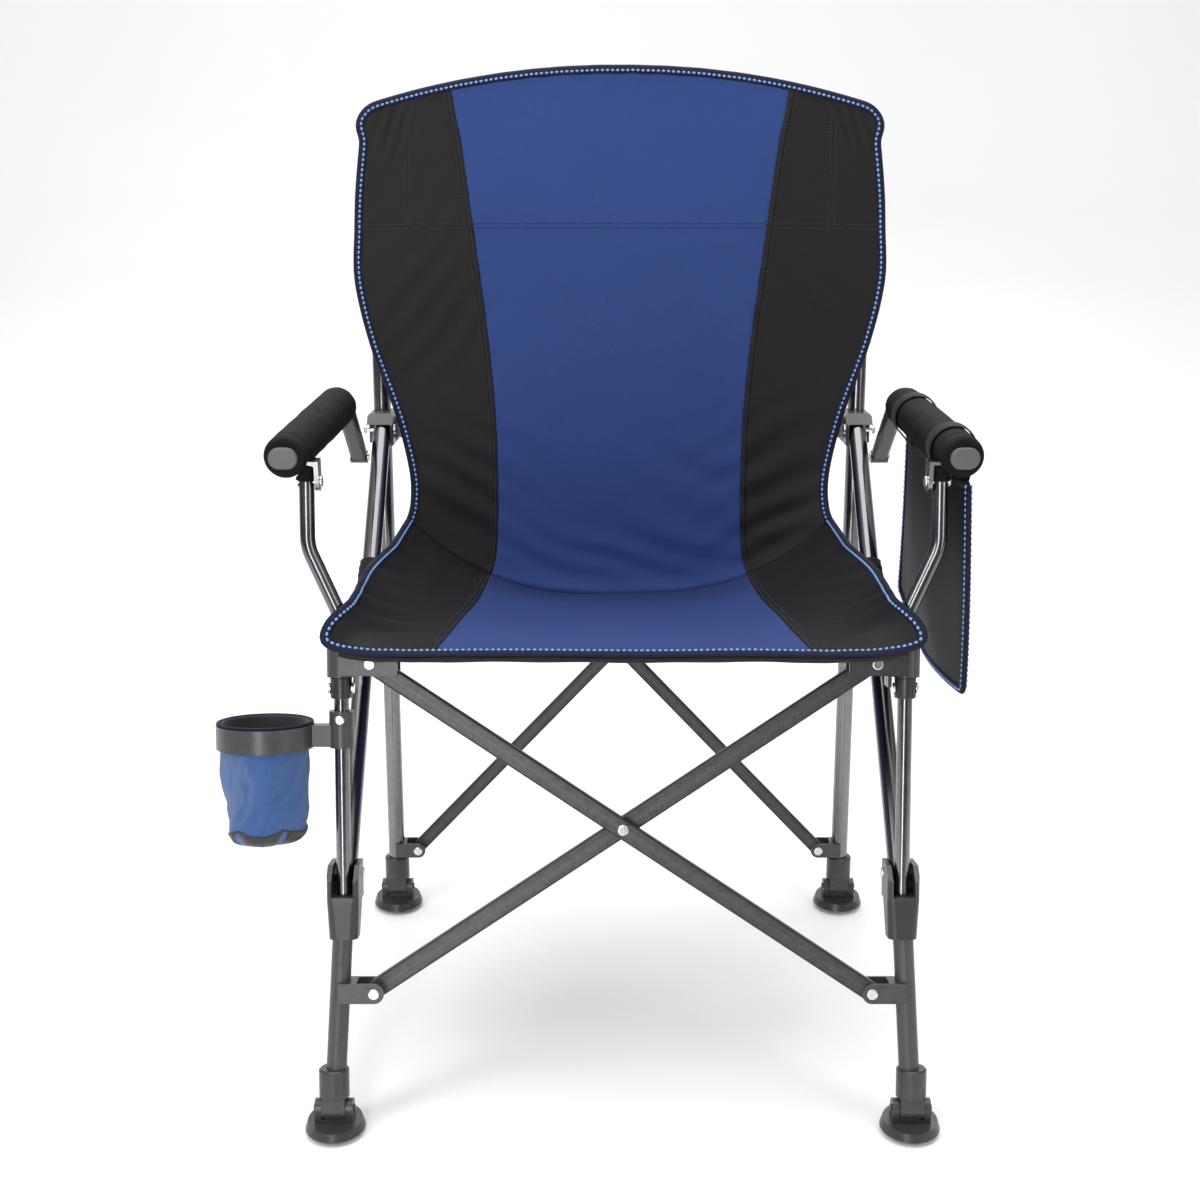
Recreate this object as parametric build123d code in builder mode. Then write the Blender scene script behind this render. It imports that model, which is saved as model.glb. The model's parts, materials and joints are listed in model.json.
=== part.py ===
from build123d import *
import math
import os

# Folding camp chair. Millimetres, +Z up, the sitter faces -Y.
# The origin lies on the floor, midway between the four feet.

# ---------------------------------------------------------------- driving dimensions
FRONT_FOOT_Y = -220.0
REAR_FOOT_Y = 220.0
ANKLE_Z = 20.0                 # height of the foot hinges
FRONT_LEAN = 13.0              # degrees that front leg and arm post lean back
REAR_LEAN = 4.0                # degrees that the back posts lean back
HEAD_LEAN = 13.0               # degrees that the top of a back post leans back

BACK_POST_X = 264.0
SIDE_X = 261.0                 # arm post, side brace and hub
FRONT_FOOT_X = 273.0
TUBE_R = 9.5
TUBE_WALL = 1.2
ARM_POST_R = 7.0
ARM_POST_WALL = 1.0
GUIDE_R = 5.6                  # inner tube that an arm post slides on
GUIDE_LOW_U = 201.0
GUIDE_TOP_U = 450.0

REAR_PIVOT_X = 237.5           # rear cross ends, and their heights along the posts
REAR_LOW_U = 49.0
REAR_TOP_U = 553.5
FRONT_PIVOT_X = 233.0          # front cross ends, and their heights along the legs
FRONT_LOW_U = 114.0
FRONT_TOP_U = 425.0

REAR_BAR_WIDTH = 15.0
REAR_BAR_DEPTH = 8.0
FRONT_BAR_WIDTH = 18.0
FRONT_BAR_DEPTH = 9.0
BAR_WALL = 1.2
BAR_GAP = 0.3                  # half the gap between two crossed bars

RIVET_R = 3.0
RIVET_HOLE_R = 3.05
RIVET_HEAD_R = 5.2
RIVET_HEAD_T = 2.0

COLLAR_R = 10.0
COLLAR_RIVET_U = 401.0
HUB_PIN_U = 222.0              # side brace hinge in the front hub
HUB_PIN_V = -18.0
SLIDER_PIN_U = 556.0           # side brace hinge in the slider
SLIDER_PIN_V = 32.0
SLIDER_LOW_U = 539.0
SLIDER_TOP_U = 573.0
SLIDER_IN_X = 248.0            # inner and outer faces of a slider
SLIDER_OUT_X = 276.5
BRACE_FLOAT = 7.9              # how far a side brace can shift along its pin in the slider
POST_BEND_U = 776.0            # above this a back post leans further back
POST_TOP_Z = 906.0

ARM_FRONT = (306.5, -106.0, 623.0)
ARM_KNEE = (290.5, 152.0, 623.0)
ARM_REAR = (291.0, 251.0, 540.0)
ARM_CLIP_Y = -87.0
ARM_CLIP_Z = 597.0
ARM_SHOULDER_X = 290.0         # upper part of an arm post
GRIP_R = 20.0

CUP_X = -332.0
CUP_U = 357.0
CUP_RING_R = 45.0

BAG_TOP_Z = 592.0
BAG_WALL = 2.0


def frame_plane(foot_y, lean):
    """Plane of a pair of legs: x across, y up along the legs, z towards the front."""
    a = math.radians(lean)
    return Plane(origin=(0, foot_y, ANKLE_Z), x_dir=(1, 0, 0), z_dir=(0, -math.cos(a), math.sin(a)))


FRONT = frame_plane(FRONT_FOOT_Y, FRONT_LEAN)
REAR = frame_plane(REAR_FOOT_Y, REAR_LEAN)
SIDES = {"left": -1, "right": 1}


def at(frame, x, u, v=0.0):
    """World point from a place in a leg plane."""
    return frame.from_local_coords(Vector(x, u, v))


def across(frame, x, u, v=0.0):
    """Plane square to the legs, its z up along them, its x along X."""
    return Plane(origin=at(frame, x, u, v), x_dir=frame.x_dir, z_dir=frame.y_dir)


def sideways(frame, x, u, v=0.0):
    """Plane facing +X, its x up along the legs, its y towards the front."""
    return Plane(origin=at(frame, x, u, v), x_dir=frame.y_dir, z_dir=(1, 0, 0))


def facing_x(x, y, z):
    """Plane facing +X, its x along +Y and its y along +Z."""
    return Plane(origin=(x, y, z), x_dir=(0, 1, 0), z_dir=(1, 0, 0))


def rod(start, end, radius):
    """Plain round bar between two points."""
    direction = Vector(end) - Vector(start)
    with BuildPart() as bar:
        with BuildSketch(Plane(origin=start, z_dir=direction)):
            Circle(radius)
        extrude(amount=direction.length)
    return bar.part


def pipe(start, end, radius, wall):
    """Open tube between two points."""
    direction = Vector(end) - Vector(start)
    with BuildPart() as tube:
        with BuildSketch(Plane(origin=start, z_dir=direction)):
            Circle(radius)
            Circle(radius - wall, mode=Mode.SUBTRACT)
        extrude(amount=direction.length)
    return tube.part


def rivet(base, grip, spacer=None):
    """Rivet along the plane's z: grip is the thickness held between its domed heads."""
    with BuildPart() as pin:
        with BuildSketch(base):
            Circle(RIVET_R)
        extrude(amount=grip)
        with BuildSketch(base.offset(-RIVET_HEAD_T)):
            Circle(RIVET_HEAD_R)
        extrude(amount=RIVET_HEAD_T)
        with BuildSketch(base.offset(grip)):
            Circle(RIVET_HEAD_R)
        extrude(amount=RIVET_HEAD_T)
        ends = pin.faces().filter_by(GeomType.PLANE).sort_by(Axis(base.origin, base.z_dir))
        rims = ends[0].edges() + ends[-1].edges()
        fillet(rims, RIVET_HEAD_T * 0.6)
        if spacer:
            low, high = spacer
            with BuildSketch(base.offset(low)):
                Circle(RIVET_HEAD_R)
            extrude(amount=high - low)
    return pin.part


def write(solid, name):
    solid.label = name
    export_step(solid, f"parts/{name}.step")


def cross_bar(frame, low, high, width, depth, layer, end_x):
    """Flat-oval tube with solid rounded ends; layer is +1 for the front bar, -1 for the rear."""
    rise = high - low
    span = 2 * end_x
    length = math.hypot(span, rise)
    tilt = -layer * math.degrees(math.atan2(rise, span))
    near = BAR_GAP if layer > 0 else -BAR_GAP - depth
    middle = Location((0, (low + high) / 2, 0), (0, 0, tilt))
    with BuildPart() as bar:
        with BuildSketch(frame.offset(near)):
            with Locations(middle):
                SlotCenterToCenter(length, width)
        extrude(amount=depth)
        rims = bar.faces().filter_by(Axis(frame.origin, frame.z_dir)).edges()
        fillet(rims, 2.2)
        with BuildSketch(frame.offset(near + BAR_WALL)):
            with Locations(middle):
                with Locations((-length / 4, 0), (length / 4, 0)):
                    SlotOverall(length / 2 - 34, width - 2 * BAR_WALL)
        extrude(amount=depth - 2 * BAR_WALL, mode=Mode.SUBTRACT)
        with BuildSketch(frame.offset(near)):
            with Locations(middle):
                with Locations((-length / 2, 0), (0, 0), (length / 2, 0)):
                    Circle(RIVET_HOLE_R)
        extrude(amount=depth, mode=Mode.SUBTRACT)
    return bar.part


def clevis(frame, side, pivot_x, pivot_u, post, cheek_in, cheek_t, reach, height):
    """Steel bracket on a tube: two cheeks hold the end of a cross bar between them."""
    root_x = side * (pivot_x + reach)
    end_x = side * pivot_x
    middle = (root_x + end_x) / 2
    web_x = side * (pivot_x + reach / 2 + height * 0.21)
    with BuildPart() as bracket:
        for near in (cheek_in, -cheek_in - cheek_t):
            with BuildSketch(frame.offset(near)):
                with Locations((middle, pivot_u)):
                    Rectangle(abs(root_x - end_x), height)
                with Locations((end_x, pivot_u)):
                    Circle(height / 2)
            extrude(amount=cheek_t)
        with BuildSketch(frame.offset(-cheek_in)):
            with Locations((web_x + side * 3, pivot_u)):
                Rectangle(abs(root_x - web_x) + 2, height)
        extrude(amount=2 * cheek_in)
        add(post, mode=Mode.SUBTRACT)
        with BuildSketch(frame.offset(-cheek_in - cheek_t)):
            with Locations((end_x, pivot_u)):
                Circle(RIVET_HOLE_R)
        extrude(amount=2 * (cheek_in + cheek_t), mode=Mode.SUBTRACT)
    return bracket.part


# ---------------------------------------------------------------- back frame
def post_points(side):
    """Axis of a back post: ankle end, bend, top."""
    foot = at(REAR, side * BACK_POST_X, 14)
    bend = at(REAR, side * BACK_POST_X, POST_BEND_U)
    rise = POST_TOP_Z - bend.Z
    top = bend + Vector(0, rise * math.tan(math.radians(HEAD_LEAN)), rise)
    return foot, bend, top


def back_post(side):
    foot, bend, top = post_points(side)
    with BuildPart() as post:
        with BuildLine() as route:
            FilletPolyline(foot, bend, top, radius=120)
        with BuildSketch(Plane(origin=foot, x_dir=REAR.x_dir, z_dir=bend - foot)):
            Circle(TUBE_R)
            Circle(TUBE_R - TUBE_WALL, mode=Mode.SUBTRACT)
        sweep(path=route.wire())
    return post.part


def slider(side):
    """Moulded block that slides on a back post; the side brace hangs on a pin in its inner wall."""
    height = SLIDER_TOP_U - SLIDER_LOW_U
    centre = side * (SLIDER_IN_X + SLIDER_OUT_X) / 2
    with BuildPart() as block:
        with BuildSketch(across(REAR, centre, SLIDER_LOW_U)):
            with Locations((0, -15)):
                RectangleRounded(SLIDER_OUT_X - SLIDER_IN_X, 58, 4)
        extrude(amount=height)
        chamfer(block.faces().sort_by(Axis(REAR.origin, REAR.y_dir))[-1].edges(), 2.5)
        with BuildSketch(sideways(REAR, centre - 20, SLIDER_TOP_U, 44)):
            Rectangle(18, 18, rotation=45)
        extrude(amount=40, mode=Mode.SUBTRACT)
        with BuildSketch(across(REAR, side * BACK_POST_X, SLIDER_LOW_U)):
            Circle(TUBE_R + 0.3)
        extrude(amount=height, mode=Mode.SUBTRACT)
        fork = SLIDER_PIN_U - SLIDER_LOW_U
        fork_ends = (side * (SIDE_X - 10.2), side * (SLIDER_OUT_X + 1))
        with BuildSketch(sideways(REAR, min(fork_ends), SLIDER_PIN_U, SLIDER_PIN_V)):
            Circle(10.6)
            with Locations((-fork, 2)):
                Rectangle(2 * fork, 25.2)
            with Locations((-fork, 15)):
                Rectangle(2 * fork + 12, 22)
        extrude(amount=max(fork_ends) - min(fork_ends), mode=Mode.SUBTRACT)
        with BuildSketch(sideways(REAR, centre - 20, SLIDER_PIN_U, SLIDER_PIN_V)):
            Circle(RIVET_HOLE_R)
        extrude(amount=40, mode=Mode.SUBTRACT)
    return block.part


def slider_bracket(side):
    """Steel fork on the slider's inner face, for the top of a rear cross bar."""
    face = side * SLIDER_IN_X
    end = side * REAR_PIVOT_X
    span = abs(face - end)
    with BuildPart() as bracket:
        for near in (9.2, -11.2):
            with BuildSketch(REAR.offset(near)):
                with Locations(((face + end) / 2, REAR_TOP_U)):
                    Rectangle(span, 20)
                with Locations((end, REAR_TOP_U)):
                    Circle(10)
            extrude(amount=2)
        with BuildSketch(REAR.offset(-11.2)):
            with Locations((face - side * 0.6, REAR_TOP_U)):
                Rectangle(1.2, 26)
        extrude(amount=22.4)
        with BuildSketch(REAR.offset(-12)):
            with Locations((end, REAR_TOP_U)):
                Circle(RIVET_HOLE_R)
        extrude(amount=24, mode=Mode.SUBTRACT)
    return bracket.part


def rear_cross_bracket(side):
    foot, bend, top = post_points(side)
    tube = rod(foot, bend, TUBE_R)
    reach = BACK_POST_X - REAR_PIVOT_X
    return clevis(REAR, side, REAR_PIVOT_X, REAR_LOW_U, tube, 9.2, 2.0, reach, 17.0)


def rear_rivet(side, u):
    """Rivet through a rear fork; its shoulder fills the layer that the bar leaves free."""
    shoulder = (12.0, 20.1) if (side < 0) == (u < 300) else (2.3, 10.4)
    base = Plane(origin=at(REAR, side * REAR_PIVOT_X, u, -11.2), x_dir=(1, 0, 0), z_dir=REAR.z_dir)
    return rivet(base, 22.4, shoulder)


def brace_pin(side):
    """Pin in the slider's inner wall; the brace can shift along it as the chair folds."""
    ends = (side * SLIDER_IN_X, side * (SIDE_X + TUBE_R + BRACE_FLOAT))
    return rivet(sideways(REAR, min(ends), SLIDER_PIN_U, SLIDER_PIN_V), max(ends) - min(ends))


# ---------------------------------------------------------------- front frame
def leg_axis(side):
    """Axis of a front leg, from above the ankle to the hub."""
    return at(FRONT, side * (FRONT_FOOT_X - 1), 14), at(FRONT, side * SIDE_X, 200)


def guide_axis(side):
    """Axis of the inner tube that stands in the hub."""
    return at(FRONT, side * SIDE_X, GUIDE_LOW_U), at(FRONT, side * SIDE_X, GUIDE_TOP_U)


def front_leg(side):
    """Leg tube, and the inner tube above it that the arm post slides on."""
    with BuildPart() as leg:
        add(pipe(*leg_axis(side), TUBE_R, TUBE_WALL))
        add(pipe(*guide_axis(side), GUIDE_R, TUBE_WALL))
    return leg.part


def hub(side):
    """Moulded joint: socket for the front leg, fork for the side brace, seat for the arm post."""
    low, high = leg_axis(side)
    shaft = rod(low, high, TUBE_R)
    x = side * SIDE_X
    with BuildPart() as joint:
        with BuildSketch(across(FRONT, x, 166)):
            RectangleRounded(27, 27, 8)
        with BuildSketch(across(FRONT, x, 200)):
            with Locations((0, 3)):
                RectangleRounded(30, 34, 7)
        loft()
        with BuildSketch(across(FRONT, x, 200)):
            with Locations((0, 7)):
                RectangleRounded(30, 42, 6)
        extrude(amount=34)
        with BuildSketch(sideways(FRONT, x - 20, 234, 16)):
            Rectangle(22, 22, rotation=45)
        extrude(amount=40, mode=Mode.SUBTRACT)
        with BuildSketch(sideways(FRONT, x - 10.1, HUB_PIN_U, HUB_PIN_V)):
            Circle(10.4)
            with Locations((10, 6)):
                Rectangle(30, 34)
            with Locations((9, -8)):
                Rectangle(26, 16)
        extrude(amount=20.2, mode=Mode.SUBTRACT)
        with BuildSketch(sideways(FRONT, x - 10.1, 226, 2)):
            Rectangle(40, 24)
        extrude(amount=20.2, mode=Mode.SUBTRACT)
        with BuildSketch(sideways(FRONT, x - 20, HUB_PIN_U, HUB_PIN_V)):
            Circle(RIVET_HOLE_R)
        extrude(amount=40, mode=Mode.SUBTRACT)
        add(shaft, mode=Mode.SUBTRACT)
        add(rod(*guide_axis(side), GUIDE_R), mode=Mode.SUBTRACT)
    return joint.part


def front_cross_bracket(side):
    low, high = leg_axis(side)
    shaft = rod(low, high, TUBE_R)
    reach = 266.5 - FRONT_PIVOT_X
    return clevis(FRONT, side, FRONT_PIVOT_X, FRONT_LOW_U, shaft, 10.2, 2.0, reach, 19.0)


def leg_rivets(side):
    """The leg's fasteners: cross bracket rivets, hub socket rivet and brace hinge pin."""
    shoulder = (12.2, 21.6) if side < 0 else (2.9, 12.2)
    bracket_base = Plane(
        origin=at(FRONT, side * FRONT_PIVOT_X, FRONT_LOW_U, -12.2), x_dir=(1, 0, 0), z_dir=FRONT.z_dir
    )
    with BuildPart() as group:
        add(rivet(bracket_base, 24.4, shoulder))
        add(rivet(sideways(FRONT, side * SIDE_X - 15, HUB_PIN_U, HUB_PIN_V), 30))
    return group.part


def stud(base, height):
    """Rivet head alone, with a little of its shank."""
    with BuildPart() as head:
        with BuildSketch(base):
            Circle(RIVET_HEAD_R)
        extrude(amount=height)
        fillet(head.faces().sort_by(Axis(base.origin, base.z_dir))[-1].edges(), height * 0.6)
        with BuildSketch(base):
            Circle(RIVET_R)
        extrude(amount=-2)
    return head.part


def side_brace(side):
    """Straight tube with solid rounded ends, from the front hub up to the slider."""
    low = at(FRONT, side * SIDE_X, HUB_PIN_U, HUB_PIN_V)
    high = at(REAR, side * SIDE_X, SLIDER_PIN_U, SLIDER_PIN_V)
    run = high - low
    unit = run.normalized()
    with BuildPart() as brace:
        with BuildSketch(Plane(origin=low, z_dir=run)):
            Circle(TUBE_R)
        extrude(amount=run.length)
        for end in (low, high):
            with Locations(end):
                Sphere(TUBE_R)
        with BuildSketch(Plane(origin=low + unit * 16, z_dir=run)):
            Circle(TUBE_R - TUBE_WALL)
        extrude(amount=run.length - 32, mode=Mode.SUBTRACT)
        for end in (low, high):
            with BuildSketch(facing_x(end.X - 20, end.Y, end.Z)):
                Circle(RIVET_HOLE_R)
            extrude(amount=40, mode=Mode.SUBTRACT)
    return brace.part


# ---------------------------------------------------------------- arm posts and seat brackets
def arm_post(side):
    foot = at(FRONT, side * SIDE_X, 207)
    knee = at(FRONT, side * SIDE_X, 468)
    shoulder = at(FRONT, side * ARM_SHOULDER_X, 532)
    top = at(FRONT, side * ARM_SHOULDER_X, 597)
    with BuildPart() as post:
        with BuildLine() as route:
            FilletPolyline(foot, knee, shoulder, top, radius=45)
        with BuildSketch(Plane(origin=foot, x_dir=FRONT.x_dir, z_dir=knee - foot)):
            Circle(ARM_POST_R)
            Circle(ARM_POST_R - ARM_POST_WALL, mode=Mode.SUBTRACT)
        sweep(path=route.wire())
        with BuildSketch(facing_x(side * ARM_SHOULDER_X - 12, ARM_CLIP_Y, ARM_CLIP_Z)):
            Circle(RIVET_HOLE_R)
        extrude(amount=24, mode=Mode.SUBTRACT)
    return post.part


def stop_collar(side):
    """Ring pinned on the arm post; the seat bracket rests on it."""
    with BuildPart() as collar:
        with BuildSketch(across(FRONT, side * SIDE_X, 392)):
            Circle(COLLAR_R)
            Circle(ARM_POST_R, mode=Mode.SUBTRACT)
        extrude(amount=19.5)
        fillet(collar.edges().filter_by(GeomType.CIRCLE).group_by(SortBy.RADIUS)[-1], 1.0)
        with BuildSketch(sideways(FRONT, side * SIDE_X - 12, COLLAR_RIVET_U)):
            Circle(RIVET_R)
        extrude(amount=24, mode=Mode.SUBTRACT)
    return collar.part


def seat_bracket(side):
    """Moulded sleeve on the arm post with a channel over the end of a front cross bar."""
    x = side * SIDE_X
    inner = side * 207
    span = abs(x - inner)
    with BuildPart() as bracket:
        with BuildSketch(across(FRONT, x, 412)):
            Circle(13)
        extrude(amount=27)
        with BuildSketch(across(FRONT, (x + inner) / 2, 434.8)):
            RectangleRounded(span, 27, 3)
        extrude(amount=4.2)
        for near in (10.2, -13.5):
            with BuildSketch(FRONT.offset(near)):
                with Locations(((x + inner) / 2, 424.5)):
                    Rectangle(span - 1, 21)
            extrude(amount=3.3)
        with BuildSketch(FRONT.offset(-10.2)):
            with Locations((side * 245, 419)):
                Rectangle(3.5, 32)
        extrude(amount=20.4)
        with BuildSketch(across(FRONT, x, 400)):
            Circle(ARM_POST_R)
        extrude(amount=50, mode=Mode.SUBTRACT)
        with BuildSketch(FRONT.offset(-14)):
            with Locations((side * FRONT_PIVOT_X, FRONT_TOP_U)):
                Circle(RIVET_HOLE_R)
        extrude(amount=28, mode=Mode.SUBTRACT)
    return bracket.part


def arm_post_rivets(side):
    """Collar studs, seat bracket rivet and the arm's front hinge pin."""
    layer_front = side < 0
    shoulder = (3.9, 13.2) if layer_front else (13.8, 23.1)
    base = Plane(
        origin=at(FRONT, side * FRONT_PIVOT_X, FRONT_TOP_U, -13.5), x_dir=(1, 0, 0), z_dir=FRONT.z_dir
    )
    pin_ends = (side * (ARM_SHOULDER_X - 12.8), side * (ARM_SHOULDER_X + 7.3))
    pin_base = facing_x(min(pin_ends), ARM_CLIP_Y, ARM_CLIP_Z)
    with BuildPart() as group:
        add(rivet(base, 27, shoulder))
        for facing in (-1, 1):
            place = at(FRONT, side * SIDE_X + facing * COLLAR_R, COLLAR_RIVET_U)
            add(stud(Plane(origin=place, x_dir=FRONT.y_dir, z_dir=(facing, 0, 0)), RIVET_HEAD_T))
        add(rivet(pin_base, 20.1))
    return group.part


# ---------------------------------------------------------------- armrests
def mirrored(point, side):
    return Vector(side * point[0], point[1], point[2])


def arm_bar(side):
    """Flat-oval bar under the grip; its rear end turns down to the back post."""
    front = mirrored(ARM_FRONT, side)
    knee = mirrored(ARM_KNEE, side)
    rear = mirrored(ARM_REAR, side)
    with BuildPart() as bar:
        with BuildLine() as route:
            FilletPolyline(front, knee, rear, radius=40)
        with BuildSketch(Plane(origin=front, x_dir=(1, 0, 0), z_dir=knee - front)):
            RectangleRounded(19, 12, 5)
        sweep(path=route.wire())
        with BuildSketch(facing_x(rear.X - 9.5, rear.Y, rear.Z)):
            Circle(7)
        extrude(amount=19)
        with BuildSketch(facing_x(rear.X - 20, rear.Y, rear.Z)):
            Circle(RIVET_HOLE_R)
        extrude(amount=40, mode=Mode.SUBTRACT)
    return bar.part


def arm_grip(side, bar, clip):
    """Foam sleeve round the arm bar, slit for the clip."""
    front = mirrored(ARM_FRONT, side)
    knee = mirrored(ARM_KNEE, side)
    unit = (knee - front).normalized()
    base = Plane(origin=front + unit * 2, x_dir=(1, 0, 0), z_dir=unit)
    with BuildPart() as grip:
        with BuildSketch(base):
            Circle(GRIP_R)
        extrude(amount=236)
        ends = grip.faces().filter_by(GeomType.PLANE)
        fillet(ends.edges(), 5)
        add(bar, mode=Mode.SUBTRACT)
        add(clip, mode=Mode.SUBTRACT)
    return grip.part


def arm_plug(side):
    """Oval end plug in front of the grip."""
    front = mirrored(ARM_FRONT, side)
    knee = mirrored(ARM_KNEE, side)
    base = Plane(origin=front, x_dir=(1, 0, 0), z_dir=front - knee)
    with BuildPart() as plug:
        with BuildSketch(base):
            SlotOverall(27, 20)
        extrude(amount=4)
        fillet(plug.faces().sort_by(Axis(base.origin, base.z_dir))[-1].edges(), 2)
    return plug.part


def arm_clip(side):
    """Steel angle under the arm bar's front end; its lug hangs inboard of the arm post."""
    inner = side * (ARM_SHOULDER_X - 12.5)
    outer = side * (ARM_SHOULDER_X - 8.5)
    bar_under = ARM_FRONT[2] - 6
    with BuildPart() as clip:
        with BuildSketch(facing_x(min(inner, outer), ARM_CLIP_Y, ARM_CLIP_Z)):
            Circle(9)
            with Locations((0, (bar_under - ARM_CLIP_Z) / 2)):
                Rectangle(18, bar_under - ARM_CLIP_Z)
        extrude(amount=4)
        with BuildSketch(Plane.XY.offset(bar_under - 3)):
            with Locations(((inner + side * (ARM_SHOULDER_X + 9)) / 2, ARM_CLIP_Y)):
                Rectangle(21.5, 18)
        extrude(amount=3)
        with BuildSketch(facing_x(min(inner, outer) - 5, ARM_CLIP_Y, ARM_CLIP_Z)):
            Circle(RIVET_HOLE_R)
        extrude(amount=14, mode=Mode.SUBTRACT)
    return clip.part


# ---------------------------------------------------------------- feet
def ankle(frame, foot_x, side, tube):
    """Moulded boot on the end of a leg, with a rounded tongue for the pad's hinge."""
    x = side * foot_x
    with BuildPart() as boot:
        with BuildSketch(sideways(frame, x - 11, 0)):
            Circle(10)
            with Locations((10, 0)):
                Rectangle(20, 20)
        extrude(amount=22)
        with BuildSketch(across(frame, x, 11.5)):
            Circle(14.2)
        extrude(amount=27.5)
        chamfer(boot.faces().sort_by(Axis(frame.origin, frame.y_dir))[-1].edges(), 1.5)
        with BuildSketch(sideways(frame, x - 20, 0)):
            Circle(RIVET_HOLE_R)
        extrude(amount=40, mode=Mode.SUBTRACT)
        add(tube, mode=Mode.SUBTRACT)
    return boot.part


def foot_pad(frame, foot_x, side):
    """Round pad with a fork; it rocks on a pin through the ankle."""
    centre = at(frame, side * foot_x, 0)
    with BuildPart() as pad:
        with BuildSketch(Plane.XY):
            with Locations((centre.X, centre.Y)):
                Circle(28.4)
        extrude(amount=8, taper=18)
        with BuildSketch(facing_x(centre.X - 18, centre.Y, centre.Z)):
            Circle(9)
            with Locations((0, -6)):
                Rectangle(18, 12)
        extrude(amount=36)
        with BuildSketch(facing_x(centre.X - 11.4, centre.Y, centre.Z)):
            Circle(12)
            with Locations((0, 8)):
                Rectangle(44, 16)
        extrude(amount=22.8, mode=Mode.SUBTRACT)
        with BuildSketch(facing_x(centre.X - 20, centre.Y, centre.Z)):
            Circle(RIVET_R)
        extrude(amount=40, mode=Mode.SUBTRACT)
        add(rod(centre - Vector(19.5, 0, 0), centre + Vector(19.5, 0, 0), RIVET_R))
    return pad.part


# ---------------------------------------------------------------- cup holder
def cup_axis(x, u):
    return across(FRONT, x, u)


def cup_ring():
    """Moulded ring with an arm and a clamp that turns on the left arm post."""
    post_x = -SIDE_X
    with BuildPart() as ring:
        with BuildSketch(cup_axis((CUP_X + post_x) / 2, CUP_U - 10)):
            Rectangle(abs(CUP_X - post_x), 14)
        extrude(amount=20)
        with BuildSketch(cup_axis(post_x, CUP_U - 11)):
            Circle(11.5)
        extrude(amount=34)
        with BuildSketch(cup_axis(CUP_X, CUP_U - 11)):
            Circle(CUP_RING_R)
        extrude(amount=22)
        with BuildSketch(cup_axis(CUP_X, CUP_U - 12)):
            Circle(CUP_RING_R - 3)
        extrude(amount=36, mode=Mode.SUBTRACT)
        with BuildSketch(cup_axis(post_x, CUP_U - 12)):
            Circle(ARM_POST_R + 0.3)
        extrude(amount=50, mode=Mode.SUBTRACT)
    return ring.part


def cup_screw():
    """Pinch screw head on the front of the clamp."""
    base = Plane(origin=at(FRONT, -SIDE_X, CUP_U + 16, 11.6), x_dir=(1, 0, 0), z_dir=FRONT.z_dir)
    with BuildPart() as screw:
        with BuildSketch(base):
            Circle(4.5)
        extrude(amount=3)
        fillet(screw.faces().sort_by(Axis(base.origin, base.z_dir))[-1].edges(), 1.6)
    return screw.part


def cup_liner():
    """Cloth cup hung in the ring, open at the top."""
    with BuildPart() as cup:
        with BuildSketch(cup_axis(CUP_X, CUP_U - 96)):
            Circle(29)
        with BuildSketch(cup_axis(CUP_X, CUP_U - 60)):
            Circle(37)
        with BuildSketch(cup_axis(CUP_X, CUP_U + 8)):
            Circle(CUP_RING_R - 3.2)
        loft(ruled=True)
        with BuildSketch(cup_axis(CUP_X, CUP_U - 94)):
            Circle(27)
        with BuildSketch(cup_axis(CUP_X, CUP_U - 60)):
            Circle(35)
        with BuildSketch(cup_axis(CUP_X, CUP_U + 9)):
            Circle(CUP_RING_R - 5.2)
        loft(ruled=True, mode=Mode.SUBTRACT)
    return cup.part


# ---------------------------------------------------------------- soft goods
def seat_sling():
    """Seat cloth as a plain slab between the side braces, with a full-width front hem."""
    panel = [(-150, 453), (-104, 452), (60, 408), (214, 389), (214, 394), (60, 413), (-104, 457), (-150, 458)]
    hem = [(-150, 453), (-134, 453), (-134, 458), (-150, 458)]
    with BuildPart() as seat:
        for outline, half in ((panel, 249.5), (hem, 272)):
            with BuildSketch(Plane.YZ.offset(-half)):
                with BuildLine():
                    Polyline(*outline, close=True)
                make_face()
            extrude(amount=2 * half)
    return seat.part


def back_sling():
    """Back cloth as a plain slab in front of the back posts."""
    rear = [(222, 398), (230, 470), (238, 575), (255, 790), (289, 953)]
    slab = rear + [(y - 5, z) for y, z in reversed(rear)]
    half = [(0, 398), (226, 398), (226, 540), (240, 600), (258, 660), (283, 720), (284, 800), (268, 912)]
    crown = [(120, 940), (0, 952)]
    outline = half + crown + [(-x, z) for x, z in reversed(half[1:] + crown[:1])]
    with BuildPart() as back:
        with BuildSketch(Plane.YZ.offset(-300)):
            with BuildLine():
                Polyline(*slab, close=True)
            make_face()
        extrude(amount=600)
        with BuildSketch(Plane.XZ.offset(-400)):
            with BuildLine():
                Polyline(*outline, close=True)
            make_face()
        extrude(amount=400, mode=Mode.INTERSECT)
    return back.part


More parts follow.
